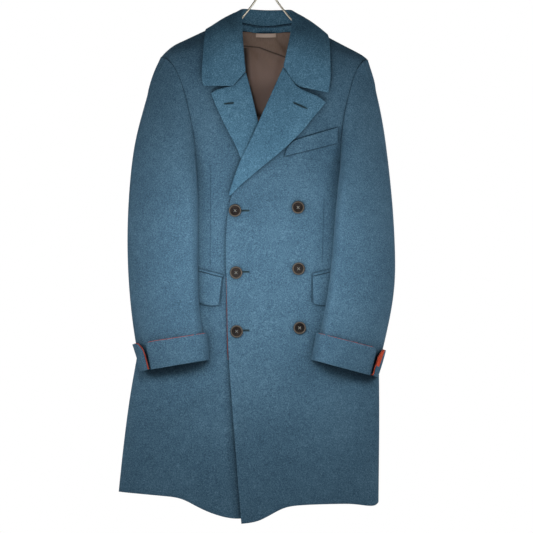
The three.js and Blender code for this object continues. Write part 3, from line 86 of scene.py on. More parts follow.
def srgb(red: int, green: int, blue: int) -> Colour:
    """Linear colour of an 8-bit sRGB colour."""

    def linear(value: int) -> float:
        """One channel, made linear."""
        share = value / 255
        return share / 12.92 if share <= 0.04045 else ((share + 0.055) / 1.055) ** 2.4

    return (linear(red), linear(green), linear(blue), 1.0)


WOOL_TONES = (srgb(42, 67, 86), srgb(65, 96, 117), srgb(94, 127, 148))
# Lighter tones of the same wool for the collar, stand, lapels and neck facing: painted light
WOOL_PAINTED_LIGHT_TONES = (srgb(44, 75, 95), srgb(69, 107, 131), srgb(102, 143, 165))
# Colour of the painted shade in the wool's gaps
WOOL_SHADE = srgb(16, 34, 48)
# Colour of the painted shade in the lining's gaps and folds, and of its dark neck seam
LINING_SHADE = srgb(26, 17, 14)
TURNED_FELT = srgb(190, 74, 44)
BLACK = (0.0, 0.0, 0.0, 1.0)
WHITE = (1.0, 1.0, 1.0, 1.0)


def smooth(low: float, high: float, value: float) -> float:
    """0 below low, 1 above high and a soft step between them."""
    share = min(1.0, max(0.0, (value - low) / (high - low)))
    return share * share * (3 - 2 * share)


class NodeTree:
    """A material's node tree with short ways to add and join nodes."""

    def __init__(self, name: str) -> None:
        """Makes an empty material of that name."""
        self.material = bpy.data.materials.new(name)
        self.material.use_nodes = True
        self.tree = self.material.node_tree
        self.tree.nodes.clear()
        self.output = self.add("ShaderNodeOutputMaterial")
        self.shader = self.add("ShaderNodeBsdfPrincipled")
        self.join(self.shader.outputs["BSDF"], self.output.inputs["Surface"])
        self.coordinates = self.add("ShaderNodeTexCoord").outputs["Object"]

    def add(self, kind: str, **settings: str | int) -> bpy.types.Node:
        """A new node of that kind with its settings."""
        made = self.tree.nodes.new(kind)
        for key, value in settings.items():
            setattr(made, key, value)
        return made

    def join(self, start: bpy.types.NodeSocket, end: bpy.types.NodeSocket) -> None:
        """Links an output to an input."""
        self.tree.links.new(start, end)

    def put(self, target: bpy.types.NodeSocket, value: Value) -> None:
        """Links a socket to an input, or sets the input to a constant."""
        if isinstance(value, bpy.types.NodeSocket):
            self.join(value, target)
        else:
            target.default_value = value

    def math(self, operation: str, first: Value, second: Value = 0.0) -> bpy.types.NodeSocket:
        """The result of a math node.

        Args:
            operation: the node's operation.
            first: its first input.
            second: its second input, where the operation has one.

        Returns:
            The socket of the result.
        """
        made = self.add("ShaderNodeMath", operation=operation)
        self.put(made.inputs[0], first)
        self.put(made.inputs[1], second)
        return made.outputs[0]

    def noise(self, scale: float, detail: float = 2.0, stretch: Vector | None = None,
              roughness: float = 0.5) -> bpy.types.NodeSocket:
        """A noise value in the piece's own metres.

        Args:
            scale: features per metre.
            detail: how many finer octaves are added.
            stretch: how much each axis is scaled first, where the grain has a direction.
            roughness: how strong the finer octaves are.

        Returns:
            The socket of the noise's value.
        """
        made = self.add("ShaderNodeTexNoise")
        made.inputs["Scale"].default_value = scale
        made.inputs["Detail"].default_value = detail
        made.inputs["Roughness"].default_value = roughness
        place = self.coordinates
        if stretch is not None:
            scaled = self.add("ShaderNodeMapping")
            scaled.inputs["Scale"].default_value = stretch
            self.join(place, scaled.inputs["Vector"])
            place = scaled.outputs["Vector"]
        self.join(place, made.inputs["Vector"])
        return made.outputs["Fac"]

    def ramp(self, value: bpy.types.NodeSocket,
             stops: list[tuple[float, Colour]]) -> bpy.types.NodeSocket:
        """A colour ramp read at a value.

        Args:
            value: where the ramp is read.
            stops: places from 0 to 1 and their colours.

        Returns:
            The socket of the colour.
        """
        made = self.add("ShaderNodeValToRGB")
        elements = made.color_ramp.elements
        while len(elements) < len(stops):
            elements.new(0.5)
        for element, (place, colour) in zip(elements, stops):
            element.position = place
            element.color = colour
        self.join(value, made.inputs["Fac"])
        return made.outputs["Color"]

    def mix(self, share: Value, first: Value, second: Value) -> bpy.types.NodeSocket:
        """Two colours mixed by a share.

        Args:
            share: how much of the second colour shows.
            first: the first colour.
            second: the second colour.

        Returns:
            The socket of the mixed colour.
        """
        made = self.add("ShaderNodeMix", data_type="RGBA")
        self.put(made.inputs[0], share)
        self.put(made.inputs[6], first)
        self.put(made.inputs[7], second)
        return made.outputs[2]

    def bump(self, height: bpy.types.NodeSocket, strength: float, distance: float) -> None:
        """Adds a bump on top of what the shader's normal already has.

        Args:
            height: the socket of the height.
            strength: how much of the bump shows, from 0 to 1.
            distance: how high it is, in metres.
        """
        made = self.add("ShaderNodeBump")
        made.inputs["Strength"].default_value = strength
        made.inputs["Distance"].default_value = distance
        self.join(height, made.inputs["Height"])
        normal = self.shader.inputs["Normal"]
        if normal.is_linked:
            self.join(normal.links[0].from_socket, made.inputs["Normal"])
        self.join(made.outputs["Normal"], normal)

    def set(self, **values: Value) -> None:
        """Sets or links the shader's sockets, with underscores for spaces."""
        for key, value in values.items():
            self.put(self.shader.inputs[key.replace("_", " ")], value)

    def painted_nook_shade(self, reach: float, power: float) -> bpy.types.NodeSocket:
        """Painted shade: 1 deep in a narrow gap between pieces, where shade falls, and 0 where the
        cloth lies open.

        Args:
            reach: how far away another piece still counts, in metres.
            power: how quickly the shade comes in.

        Returns:
            The socket of the painted shade.
        """
        made = self.add("ShaderNodeAmbientOcclusion", samples=8)
        made.inputs["Distance"].default_value = reach
        open_share = self.math("POWER", made.outputs["AO"], power)
        return self.math("SUBTRACT", 1.0, open_share)

    def line_mask(self, line: "Line") -> bpy.types.NodeSocket:
        """1 on a straight line seen from the front, fading to 0 at its width.

        Args:
            line: the line, on the coat's front or back half.

        Returns:
            The socket of the mask.
        """
        parts = self.add("ShaderNodeSeparateXYZ")
        self.join(self.coordinates, parts.inputs[0])
        run = Vector((line.x2 - line.x1, line.z2 - line.z1))
        aim = run.normalized()
        dx = self.math("SUBTRACT", parts.outputs["X"], line.x1)
        dz = self.math("SUBTRACT", parts.outputs["Z"], line.z1)
        along = self.math("ADD", self.math("MULTIPLY", dx, aim.x),
                          self.math("MULTIPLY", dz, aim.y))
        away = self.math("SUBTRACT", self.math("MULTIPLY", dx, aim.y),
                         self.math("MULTIPLY", dz, aim.x))
        near = self.math("DIVIDE", self.math("ABSOLUTE", away), line.width)
        near = self.math("SUBTRACT", 1.0, near)
        near = self.math("MAXIMUM", near, 0.0)
        inside = self.math("MULTIPLY", self.math("GREATER_THAN", along, 0.0),
                           self.math("LESS_THAN", along, run.length))
        compare = "LESS_THAN" if line.side is Side.FRONT else "GREATER_THAN"
        front = self.math(compare, parts.outputs["Y"], SIDE_Y)
        return self.math("MULTIPLY", self.math("MULTIPLY", near, inside), front)


@dataclass(frozen=True)
class Line:
    """A sewn line or a sharp fold, from one point to another, in metres."""

    x1: float
    z1: float
    x2: float
    z2: float
    width: float = 0.0022
    side: Side = Side.FRONT


# Darts, then the seams round the pocket jets and the breast welt, with painted shadow beside the
# pocket flaps' inner sides
DARTS = (
    Line(-0.1195, -0.457, -0.1205, -0.672),
    Line(0.126, -0.530, 0.1215, -0.668),
)
POCKET_SEAMS_AND_FLAP_SHADOWS = (
    Line(-0.1420, -0.6795, -0.0905, -0.6935, 0.0016),
    Line(-0.1420, -0.6865, -0.0905, -0.7000, 0.0018),
    # Painted shadow beside the left flap's inner side
    Line(-0.0915, -0.6935, -0.0990, -0.7560, 0.0016),
    Line(0.0995, -0.6905, 0.1350, -0.6815, 0.0016),
    Line(0.0995, -0.6975, 0.1350, -0.6885, 0.0018),
    # Painted shadow beside the right flap's inner side
    Line(0.0990, -0.6905, 0.0995, -0.7520, 0.0016),
    Line(0.0590, -0.4035, 0.1500, -0.3765, 0.0018),
    Line(0.0400, -0.4400, 0.1500, -0.4120, 0.0018),
    Line(0.0392, -0.4400, 0.0430, -0.4240, 0.0016),
)
# The lining's neck seam, a dark line with painted shadow, then painted shade in its deep folds
LINING_SEAMS_AND_SHADE = (
    Line(-0.0520, -0.1985, -0.0150, -0.2020, 0.0022, Side.BACK),
    Line(-0.0150, -0.2020, 0.0420, -0.2230, 0.0026, Side.BACK),
    Line(-0.0455, -0.2030, -0.0390, -0.2950, 0.0095, Side.BACK),
    Line(-0.0400, -0.2850, -0.0200, -0.3500, 0.0090, Side.BACK),
    Line(-0.0200, -0.3500, 0.0200, -0.3500, 0.0130, Side.BACK),
)


@dataclass(frozen=True)
class Wool:
    """Felted wool cloth: short nap and faint heather, with dark seam lines, painted shadow lines and
    painted shade in its gaps.

    The four scales are features per metre.
    """

    name: str
    tones: tuple[Colour, Colour, Colour]
    lines: tuple[Line, ...] = ()
    felt_turned: tuple[Line, ...] = ()
    nap: float = 420
    fibre: float = 900
    cloud: float = 9
    patch: float = 60
    nook_reach: float = 0.022
    nook_power: float = 1.4
    nook_share: float = 0.8

    def build(self) -> bpy.types.Material:
        """The finished material."""
        made = NodeTree(self.name)
        grain = made.noise(self.nap, 3, roughness=0.7)
        fibre = made.noise(self.fibre, 2, Vector((1.0, 1.0, 0.45)))
        cloud = made.noise(self.cloud, 3)
        patch = made.noise(self.patch, 2)
        value = made.math("MULTIPLY", grain, 0.55)
        for noise, share in ((fibre, 0.25), (cloud, 0.12), (patch, 0.08)):
            value = made.math("ADD", value, made.math("MULTIPLY", noise, share))
        colour = made.ramp(value, list(zip((0.36, 0.5, 0.64), self.tones)))
        # Sewn lines darken towards the darkest tone; where they run beside the pocket flaps they are
        # painted shadow
        for line in self.lines:
            mask = made.line_mask(line)
            colour = made.mix(made.math("MULTIPLY", mask, 0.45), colour, self.tones[0])
            made.bump(made.math("SUBTRACT", 1.0, mask), 0.6, 0.0012)
        for line in self.felt_turned:
            mask = made.math("GREATER_THAN", made.line_mask(line), 0.1)
            colour = made.mix(mask, colour, TURNED_FELT)
        # Painted shade: the colour darkens towards WOOL_SHADE in gaps between pieces
        painted_nook_shade = made.painted_nook_shade(self.nook_reach, self.nook_power)
        colour = made.mix(made.math("MULTIPLY", painted_nook_shade, self.nook_share), colour, WOOL_SHADE)
        made.set(Base_Color=colour, Roughness=0.92, Sheen_Weight=0.18, Sheen_Roughness=0.45,
                 Sheen_Tint=self.tones[2])
        made.set(**{"Specular IOR Level": 0.15})
        made.bump(made.noise(260, 3, roughness=0.65), 0.35, 0.0011)
        made.bump(grain, 0.35, 0.0005)
        made.bump(made.noise(34, 2), 0.14, 0.004)
        return made.material


@dataclass(frozen=True)
class Satin:
    """Lining satin: smooth, with a soft stretched sheen and its upper colour down to top_z."""

    name: str
    upper: Colour
    lower: Colour
    lines: tuple[Line, ...] = ()
    roughness: float = 0.5
    top_z: float = -0.205
    drop_rate: float = -16.0
    nook_reach: float = 0.010
    nook_power: float = 1.2
    nook_share: float = 0.8

    def build(self) -> bpy.types.Material:
        """The finished material."""
        made = NodeTree(self.name)
        parts = made.add("ShaderNodeSeparateXYZ")
        made.join(made.coordinates, parts.inputs[0])
        below = made.math("ADD", parts.outputs["Z"], -self.top_z)
        drop = made.math("MULTIPLY", below, self.drop_rate)
        share = made.math("MINIMUM", made.math("MAXIMUM", drop, 0.0), 1.0)
        grain = made.noise(700, 2, Vector((1.0, 1.0, 0.15)))
        # Below top_z the colour turns to the lower one; on the lining that lower colour is partly
        # painted light
        colour = made.mix(share, self.upper, self.lower)
        colour = made.mix(made.math("MULTIPLY", grain, 0.35), colour, self.lower)
        # The neck seam as a dark line with painted shadow, and painted shade along the deep folds
        for line in self.lines:
            mask = made.line_mask(line)
            colour = made.mix(made.math("MULTIPLY", mask, 0.9), colour, LINING_SHADE)
            made.bump(made.math("SUBTRACT", 1.0, mask), 0.5, 0.0015)
        # Painted shade: the colour darkens towards LINING_SHADE in gaps between pieces
        painted_nook_shade = made.painted_nook_shade(self.nook_reach, self.nook_power)
        colour = made.mix(made.math("MULTIPLY", painted_nook_shade, self.nook_share), colour, LINING_SHADE)
        made.set(Base_Color=colour, Roughness=self.roughness, Anisotropic=0.3)
        made.set(**{"Specular IOR Level": 0.4})
        made.bump(grain, 0.2, 0.0002)
        made.bump(made.noise(55, 2, Vector((1.0, 1.0, 0.6))), 0.35, 0.003)
        return made.material


@dataclass(frozen=True)
class Felt:
    """Plain matt felt or thread."""

    name: str
    colour: Colour
    second: Colour
    scale: float = 800.0

    def build(self) -> bpy.types.Material:
        """The finished material."""
        made = NodeTree(self.name)
        grain = made.noise(self.scale, 3)
        colour = made.ramp(grain, [(0.35, self.second), (0.65, self.colour)])
        made.set(Base_Color=colour, Roughness=0.9, Sheen_Weight=0.15, Sheen_Tint=self.colour)
        made.bump(grain, 0.4, 0.0004)
        return made.material


@dataclass(frozen=True)
class Horn:
    """Dark horn with cloudy streaks and a painted highlight ring on its rim."""

    name: str
    dark: Colour
    light: Colour
    rim: Colour

    def build(self) -> bpy.types.Material:
        """The finished material."""
        made = NodeTree(self.name)
        streak = made.noise(120, 4, Vector((1.0, 1.0, 0.3)), 0.6)
        colour = made.ramp(streak, [(0.38, self.dark), (0.72, self.light)])
        # A paler ring on the rim: a painted highlight
        reach = made.add("ShaderNodeAttribute", attribute_name="reach").outputs["Fac"]
        ring = made.ramp(reach, [(0.74, BLACK), (0.84, WHITE), (0.94, WHITE), (1.0, BLACK)])
        colour = made.mix(made.math("MULTIPLY", ring, 0.75), colour, self.rim)
        made.set(Base_Color=colour, Roughness=0.42, IOR=1.5)
        made.set(**{"Specular IOR Level": 0.08})
        made.bump(made.noise(500, 2), 0.1, 0.0002)
        return made.material


@dataclass(frozen=True)
class Wire:
    """Dull pale metal wire."""

    name: str
    colour: Colour

    def build(self) -> bpy.types.Material:
        """The finished material."""
        made = NodeTree(self.name)
        wear = made.noise(180, 3)
        made.set(Base_Color=self.colour, Metallic=0.85,
                 Roughness=made.math("ADD", made.math("MULTIPLY", wear, 0.25), 0.25))
        made.bump(wear, 0.15, 0.0003)
        return made.material


Finish = Wool | Satin | Felt | Horn | Wire

FINISHES = {
    Slot.WOOL: Wool("wool", WOOL_TONES, DARTS + POCKET_SEAMS_AND_FLAP_SHADOWS),
    # The same wool in lighter tones: painted light on the collar, stand, lapels and neck facing
    Slot.WOOL_PAINTED_LIGHT: Wool("wool_light", WOOL_PAINTED_LIGHT_TONES),
    # The lining's lower colour is lighter than its own brown: painted light deep in the V, where the
    # lamps hardly reach
    Slot.LINING: Satin("lining", srgb(118, 95, 78), srgb(186, 155, 142), LINING_SEAMS_AND_SHADE),
    Slot.TAPE: Satin("loop_tape", srgb(205, 182, 166), srgb(190, 168, 156)),
    Slot.FELT: Felt("orange_felt", srgb(196, 78, 46), srgb(150, 52, 32)),
    # The third colour is the painted highlight on the buttons' rims
    Slot.HORN: Horn("button_horn", srgb(18, 14, 12), srgb(42, 32, 27), srgb(98, 92, 84)),
    Slot.METAL: Wire("hanger_metal", srgb(214, 208, 192)),
}
WOOL_FELT_TURNED = Wool("wool_felt_turned", WOOL_TONES,
                        felt_turned=(Line(0.2530, -0.8500, 0.2385, -0.8900, 0.0056),))
THREAD = Felt("thread", srgb(38, 72, 84), srgb(24, 52, 62), 1500)
BUTTON_THREAD = Felt("button_thread", srgb(150, 148, 138), srgb(110, 112, 108), 1500)
RED_EDGE = Felt("red_edge", srgb(150, 66, 50), srgb(110, 50, 44), 1500)
# A dark tube standing for the shade in the buttonhole slits: painted shade
SLIT_SHADE = Felt("slit", srgb(14, 26, 34), srgb(10, 20, 26))
MADE: dict[str, bpy.types.Material] = {}


def material(finish: Finish) -> bpy.types.Material:
    """The material of a finish, built once."""
    if finish.name not in MADE:
        MADE[finish.name] = finish.build()
    return MADE[finish.name]


@dataclass(frozen=True)
class Crease:
    """A soft ridge (or trough, where rise is negative) laid on the cloth.

    Its line is seen from the front or back, in metres, and it fades out at both ends.
    """

    side: Side
    x1: float
    z1: float
    x2: float
    z2: float
    rise: float
    width: float

    def height(self, x: float, z: float) -> float:
        """Height of the crease at a place.

        Args:
            x: the place across the coat, in metres.
            z: the place up the coat, in metres.

        Returns:
            How far the cloth rises there, in metres.
        """
        dx, dz = self.x2 - self.x1, self.z2 - self.z1
        length2 = dx * dx + dz * dz
        along = ((x - self.x1) * dx + (z - self.z1) * dz) / length2
        near = min(1.0, max(0.0, along))
        away = math.hypot(x - self.x1 - near * dx, z - self.z1 - near * dz) / self.width
        if away > 3:
            return 0.0
        fade = smooth(-0.15, 0.25, along) * (1 - smooth(0.75, 1.15, along))
        return self.rise * math.exp(-away * away) * fade


@dataclass(frozen=True)
class Lift:
    """Cloth that stands further off the coat with its distance from a sewn or rolled line.

    The distance is measured to the left of the line's direction, seen from the front.
    """

    x1: float
    z1: float
    x2: float
    z2: float
    rise: float
    reach: float

    def height(self, x: float, z: float) -> float:
        """How far the cloth stands off at a place.

        Args:
            x: the place across the coat, in metres.
            z: the place up the coat, in metres.

        Returns:
            The distance in metres.
        """
        dx, dz = self.x2 - self.x1, self.z2 - self.z1
        away = (dx * (z - self.z1) - dz * (x - self.x1)) / math.hypot(dx, dz)
        return self.rise * smooth(0.0, self.reach, away)


def lifts(*rows: Row) -> tuple[Lift, ...]:
    """Lifts from rows of x1, z1, x2, z2, rise and reach in millimetres."""
    return tuple(Lift(*(value / 1000 for value in row)) for row in rows)


def new_object(name: str, mesh: bpy.types.Mesh) -> bpy.types.Object:
    """A new object that shows the mesh."""
    made = bpy.data.objects.new(name, mesh)
    bpy.context.scene.collection.objects.link(made)
    return made


def finish_object(made: bpy.types.Object, finish: Finish) -> None:
    """Gives a piece its material and its body.

    Args:
        made: the piece.
        finish: its finish.
    """
    made.data.materials.clear()
    made.data.materials.append(material(finish))
    made.data.shade_smooth()
    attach(made, "root")


def merged_copy(node: str) -> bmesh.types.BMesh:
    """A copy of a CAD node's mesh with its loose triangles merged and joined into quads.

    Args:
        node: the node's name.

    Returns:
        The copy, which the caller frees.
    """
    copy = bmesh.new()
    copy.from_mesh(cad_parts[node].data)
    bmesh.ops.remove_doubles(copy, verts=copy.verts, dist=DOUBLES)
    copy.normal_update()
    bmesh.ops.join_triangles(copy, faces=copy.faces, angle_face_threshold=math.radians(30),
                             angle_shape_threshold=math.radians(60), cmp_seam=False,
                             cmp_sharp=False, cmp_uvs=False, cmp_vcols=False, cmp_materials=False)
    return copy


def baked(made: bpy.types.Object) -> None:
    """Replaces an object's mesh with the one its modifiers give.

    Args:
        made: the object, which loses its modifiers.
    """
    graph = bpy.context.evaluated_depsgraph_get()
    mesh = bpy.data.meshes.new_from_object(made.evaluated_get(graph))
    old = made.data
    made.modifiers.clear()
    made.data = mesh
    bpy.data.meshes.remove(old)


@dataclass
class Cloth:
    """One cloth piece on its solid's form: refined, creased and with soft edges."""

    node: str
    slot: Slot
    flat: tuple[float, float]
    area: float
    rests_on: tuple[str, ...] = ()
    levels: int = 2
    creases: tuple[Crease, ...] = ()
    lifted: tuple[Lift, ...] = ()
    raised: tuple[Lift, ...] = ()
    shift: tuple[float, float] = (0.0, 0.0)
    rim_angle: float = 50.0
    edge_angle: float = 48.0
    lap: float = 0.0010
    finish: Wool | None = None

    def move(self, point: Vector) -> Vector:
        """Where the creases, lifts and shift carry a point; both faces move together.

        Args:
            point: a point of the refined cloth.

        Returns:
            Its new place.
        """
        depth = point.y - SIDE_Y
        rise = 0.0
        for crease in self.creases:
            share = smooth(0.0, CREASE_FADE, depth * crease.side.value)
            if share > 0:
                rise += share * crease.height(point.x, point.z) * crease.side.value
        if depth < 0:
            rise -= sum(lift.height(point.x, point.z) for lift in self.lifted)
        up = sum(lift.height(point.x, point.z) for lift in self.raised)
        return Vector((point.x, point.y + rise + self.shift[0], point.z + up + self.shift[1]))

    def build(self) -> bpy.types.Object:
        copy = merged_copy(self.node)
        layers = copy.edges.layers.float
        layer = layers.get("crease_edge") or layers.new("crease_edge")
        for edge in copy.edges:
            if len(edge.link_faces) == 2 and math.degrees(edge.calc_face_angle(0)) > self.rim_angle:
                edge[layer] = 1.0
        mesh = bpy.data.meshes.new(self.node + "_cloth")
        copy.to_mesh(mesh)
        copy.free()
        made = new_object(self.node + "_cloth", mesh)
        refine = made.modifiers.new("refine", "SUBSURF")
        refine.levels = refine.render_levels = self.levels
        baked(made)
        for vertex in made.data.vertices:
            vertex.co = self.move(vertex.co)
        edge_round = made.modifiers.new("edge", "BEVEL")
        edge_round.width = self.lap
        edge_round.segments = 2
        edge_round.limit_method = "ANGLE"
        edge_round.angle_limit = math.radians(self.edge_angle)
        edge_round.use_clamp_overlap = True
        finish_object(made, self.finish or FINISHES[self.slot])
        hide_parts(self.node)
        return made


def front_creases(*rows: Row) -> tuple[Crease, ...]:
    """Creases of the front from rows of x1, z1, x2, z2, rise and width in millimetres."""
    return tuple(Crease(Side.FRONT, *(value / 1000 for value in row)) for row in rows)


def back_creases(*rows: Row) -> tuple[Crease, ...]:
    """Creases of the back from rows of x1, z1, x2, z2, rise and width in millimetres."""
    return tuple(Crease(Side.BACK, *(value / 1000 for value in row)) for row in rows)


# Each fold's row is x1, z1, x2, z2, rise and width, in millimetres
FRONT_FOLDS = front_creases(
    (-105, -905, -215, -1010, 3.0, 15),
    (-118, -960, -200, -1060, -2.2, 18),
    (-60, -980, -150, -1190, 1.8, 22),
    (-190, -900, -240, -1130, 2.2, 20),
    (-230, -960, -270, -1140, -2.0, 16),
    (-78, -524, -14, -528, -1.6, 6),
    (-2, -505, -8, -552, 1.4, 7),
    (20, -860, -30, -1190, 2.0, 26),
    (60, -900, 90, -1180, -1.8, 22),
    (130, -860, 160, -1180, 2.4, 24),
    (200, -880, 205, -1170, 2.2, 18),
    (175, -700, 190, -900, -1.6, 16),
    (90, -420, 60, -520, 1.2, 18),
    (-120, -330, -112, -500, 1.4, 16),
    (-150, -470, -130, -640, -1.4, 15),
    (130, -470, 145, -640, 1.3, 16),
    (30, -590, -20, -660, 1.0, 18),
    (40, -720, -30, -790, -0.9, 16),
)
# The over front's edge stands off the under front, most at the hem
FRONT_EDGE_FOLDS = front_creases(
    (-90, -480, -62, -1230, 3.0, 17),
    (-76, -900, -46, -1330, 6.0, 24),
)
BACK_FOLDS = back_creases(
    (-150, -470, -165, -760, 2.2, 18),
    (-60, -520, -85, -900, -1.8, 24),
    (-20, -640, -35, -1150, 2.4, 26),
    (60, -560, 75, -1150, 2.0, 26),
    (150, -480, 165, -1100, 2.2, 20),
    (-190, -700, -235, -1130, 2.4, 20),
    (100, -700, 115, -1160, -2.2, 20),
    (-120, -900, -150, -1160, 2.0, 22),
    (-130, -250, -60, -300, 1.4, 16),
    (125, -262, 60, -310, 1.3, 16),
    (0, -240, 5, -420, -1.0, 20),
    (205, -800, 212, -1160, 1.8, 16),
)
LEFT_SLEEVE_FOLDS = front_creases(
    (-166, -440, -160, -640, 5.0, 12),
    (-160, -620, -150, -860, 5.0, 12),
    (-232, -238, -242, -262, 2.6, 9),
    (-180, -300, -205, -420, 2.2, 18),
    (-262, -330, -285, -480, 1.6, 18),
    (-160, -520, -245, -590, 2.2, 14),
    (-155, -560, -240, -640, -1.8, 13),
    (-165, -660, -270, -700, 1.8, 15),
    (-150, -730, -225, -790, 1.6, 14),
    (-280, -640, -225, -600, -1.4, 13),
    (-240, -760, -275, -830, 1.4, 14),
) + back_creases(
    (-200, -480, -270, -560, 2.0, 14),
    (-215, -600, -280, -660, -1.8, 14),
    (-240, -700, -280, -760, 1.6, 14),
)
RIGHT_SLEEVE_FOLDS = front_creases(
    (173, -440, 156, -645, 5.0, 12),
    (158, -625, 124, -860, 5.0, 12),
    (211, -232, 220, -258, 2.2, 8),
    (168, -300, 190, -430, 2.0, 17),
    (245, -350, 262, -500, 1.6, 17),
    (150, -540, 232, -610, 2.0, 14),
    (150, -585, 235, -660, -1.6, 13),
    (140, -680, 250, -730, 1.8, 15),
    (128, -750, 205, -815, 1.6, 14),
    (262, -650, 215, -610, -1.4, 13),
    (225, -780, 255, -850, 1.4, 14),
) + back_creases(
    (190, -490, 255, -570, 2.0, 14),
    (205, -610, 262, -670, -1.8, 14),
    (225, -710, 262, -770, 1.6, 14),
)
LINING_FOLDS = back_creases(
    (-60, -185, -10, -245, -3.0, 9),
    (-30, -182, 25, -240, -2.4, 8),
    (5, -184, 50, -225, -2.6, 8),
    (40, -190, -5, -300, -3.2, 12),
    (-45, -220, -20, -330, -3.4, 12),
    (20, -250, 0, -370, -3.0, 11),
    (-30, -232, -24, -290, -2.0, 5),
    (16, -184, 36, -212, -2.0, 5),
    (-14, -188, 16, -206, -1.8, 5),
    (60, -215, 35, -330, -2.4, 10),
    (-8, -200, -32, -260, 2.0, 8),
)
COLLAR_FOLDS = front_creases(
    (-70, -190, -110, -230, 1.0, 14),
    (60, -200, 105, -240, 1.0, 14),
)

CLOTH = (
    Cloth("back", Slot.WOOL, (0.62, 1.06), 0.485, ("hanger_arms",), 2, BACK_FOLDS,
          shift=(-0.00025, 0.0)),
    Cloth("front_under", Slot.WOOL, (0.44, 1.08), 0.3115, ("hanger_arms",), 3, FRONT_FOLDS,
          shift=(0.00025, 0.0)),
    Cloth("front_over", Slot.WOOL, (0.36, 1.08), 0.2913, ("hanger_arms",), 3,
          FRONT_FOLDS + FRONT_EDGE_FOLDS, shift=(0.00025, 0.0)),
    Cloth("lapel_over", Slot.WOOL_PAINTED_LIGHT, (0.14, 0.28), 0.0196, ("front_over_cloth",), 2,
          lifted=lifts((36.8, -246.8, -80, -522, 6.0, 75))),
    Cloth("lapel_under", Slot.WOOL_PAINTED_LIGHT, (0.11, 0.23), 0.0137, ("front_under_cloth",), 2,
          lifted=lifts((12, -427, -43, -258, 4.5, 60))),
    Cloth("collar", Slot.WOOL_PAINTED_LIGHT, (0.56, 0.13), 0.0482, ("collar_stand_cloth",), 2,
          COLLAR_FOLDS, lifted=lifts((-58, -200, -58, -150, 6.0, 75), (58, -150, 58, -200, 6.0, 75))),
    Cloth("collar_stand", Slot.WOOL_PAINTED_LIGHT, (0.24, 0.05), 0.0054, ("back_cloth",), 2),
    Cloth("sleeve_top_left", Slot.WOOL, (0.26, 0.68), 0.127, (), 2, LEFT_SLEEVE_FOLDS),
    Cloth("sleeve_under_left", Slot.WOOL, (0.20, 0.68), 0.082, (), 2, LEFT_SLEEVE_FOLDS),
    Cloth("sleeve_top_right", Slot.WOOL, (0.26, 0.68), 0.116, (), 2, RIGHT_SLEEVE_FOLDS),
    Cloth("sleeve_under_right", Slot.WOOL, (0.20, 0.68), 0.075, (), 2, RIGHT_SLEEVE_FOLDS),
    Cloth("cuff_left", Slot.WOOL, (0.36, 0.07), 0.0193, (), 2),
    Cloth("cuff_right", Slot.WOOL, (0.36, 0.07), 0.0217, (), 2, finish=WOOL_FELT_TURNED),
    Cloth("cuff_facing_left", Slot.FELT, (0.36, 0.07), 0.0197, (), 2, lap=0.0003,
          raised=lifts((-127, -847, -254, -871, 2.4, 20)), shift=(0.0, -0.0011)),
    Cloth("cuff_facing_right", Slot.FELT, (0.36, 0.07), 0.0212, (), 2, lap=0.0003,
          raised=lifts((236.5, -881.5, 106.4, -849.3, 2.6, 20)), shift=(0.0, -0.0013)),
    Cloth("flap_left", Slot.WOOL, (0.11, 0.08), 0.007, ("front_under_cloth",), 2,
          lifted=lifts((-91.4, -702, -202, -674, 4.0, 60))),
    Cloth("flap_right", Slot.WOOL, (0.11, 0.08), 0.0073, ("front_over_cloth",), 2,
          lifted=lifts((202, -674, 100, -700, 4.0, 58))),
    Cloth("jet_left", Slot.WOOL, (0.116, 0.01), 0.00051, ("front_under_cloth",), 2),
    Cloth("jet_right", Slot.WOOL, (0.106, 0.01), 0.00053, ("front_over_cloth",), 2),
    Cloth("breast_welt", Slot.WOOL, (0.12, 0.036), 0.0035, ("front_over_cloth",), 2),
    Cloth("neck_facing", Slot.WOOL_PAINTED_LIGHT, (0.125, 0.016), 0.0016, ("back_cloth",), 2),
    Cloth("lining_back", Slot.LINING, (0.24, 0.26), 0.0557, ("back_cloth",), 3, LINING_FOLDS),
    Cloth("hanging_loop", Slot.TAPE, (0.046, 0.01), 0.000375, ("lining_back_cloth",), 2),
)


@dataclass(frozen=True)
class ButtonForm:
    """Sizes of a turned four-hole button and its thread, in metres."""

    radius: float = 0.0135
    thick: float = 0.0046
    rim: float = 0.0032
    dish: float = 0.0016
    hole_radius: float = 0.0014
    hole_place: float = 0.0031
    segments: int = 56
    holes: int = 4
    hole_sides: int = 20
    thread_radius: float = 0.00062
    thread_sunk: float = 0.0026
    thread_bend: float = 0.0002
    thread_high: float = 0.0008
    thread_cross: float = 0.0003

    def profile(self) -> list[tuple[float, float]]:
        """Half section from the middle of the foot round to the middle of the top."""
        r, t = self.radius, self.thick
        return [
            (0.0, 0.0), (r * 0.72, 0.0), (r * 0.86, 0.0003), (r * 0.97, 0.0012), (r, 0.0021),
            (r, 0.0031), (r - 0.0003, 0.0039), (r - 0.001, t - 0.0002), (r - 0.0017, t),
            (r - 0.0024, t - 0.0001), (r - self.rim, t - 0.0007),
            (r - self.rim - 0.0008, t - self.dish),
            (r * 0.45, t - self.dish - 0.0002), (0.0, t - self.dish - 0.0003),
        ]


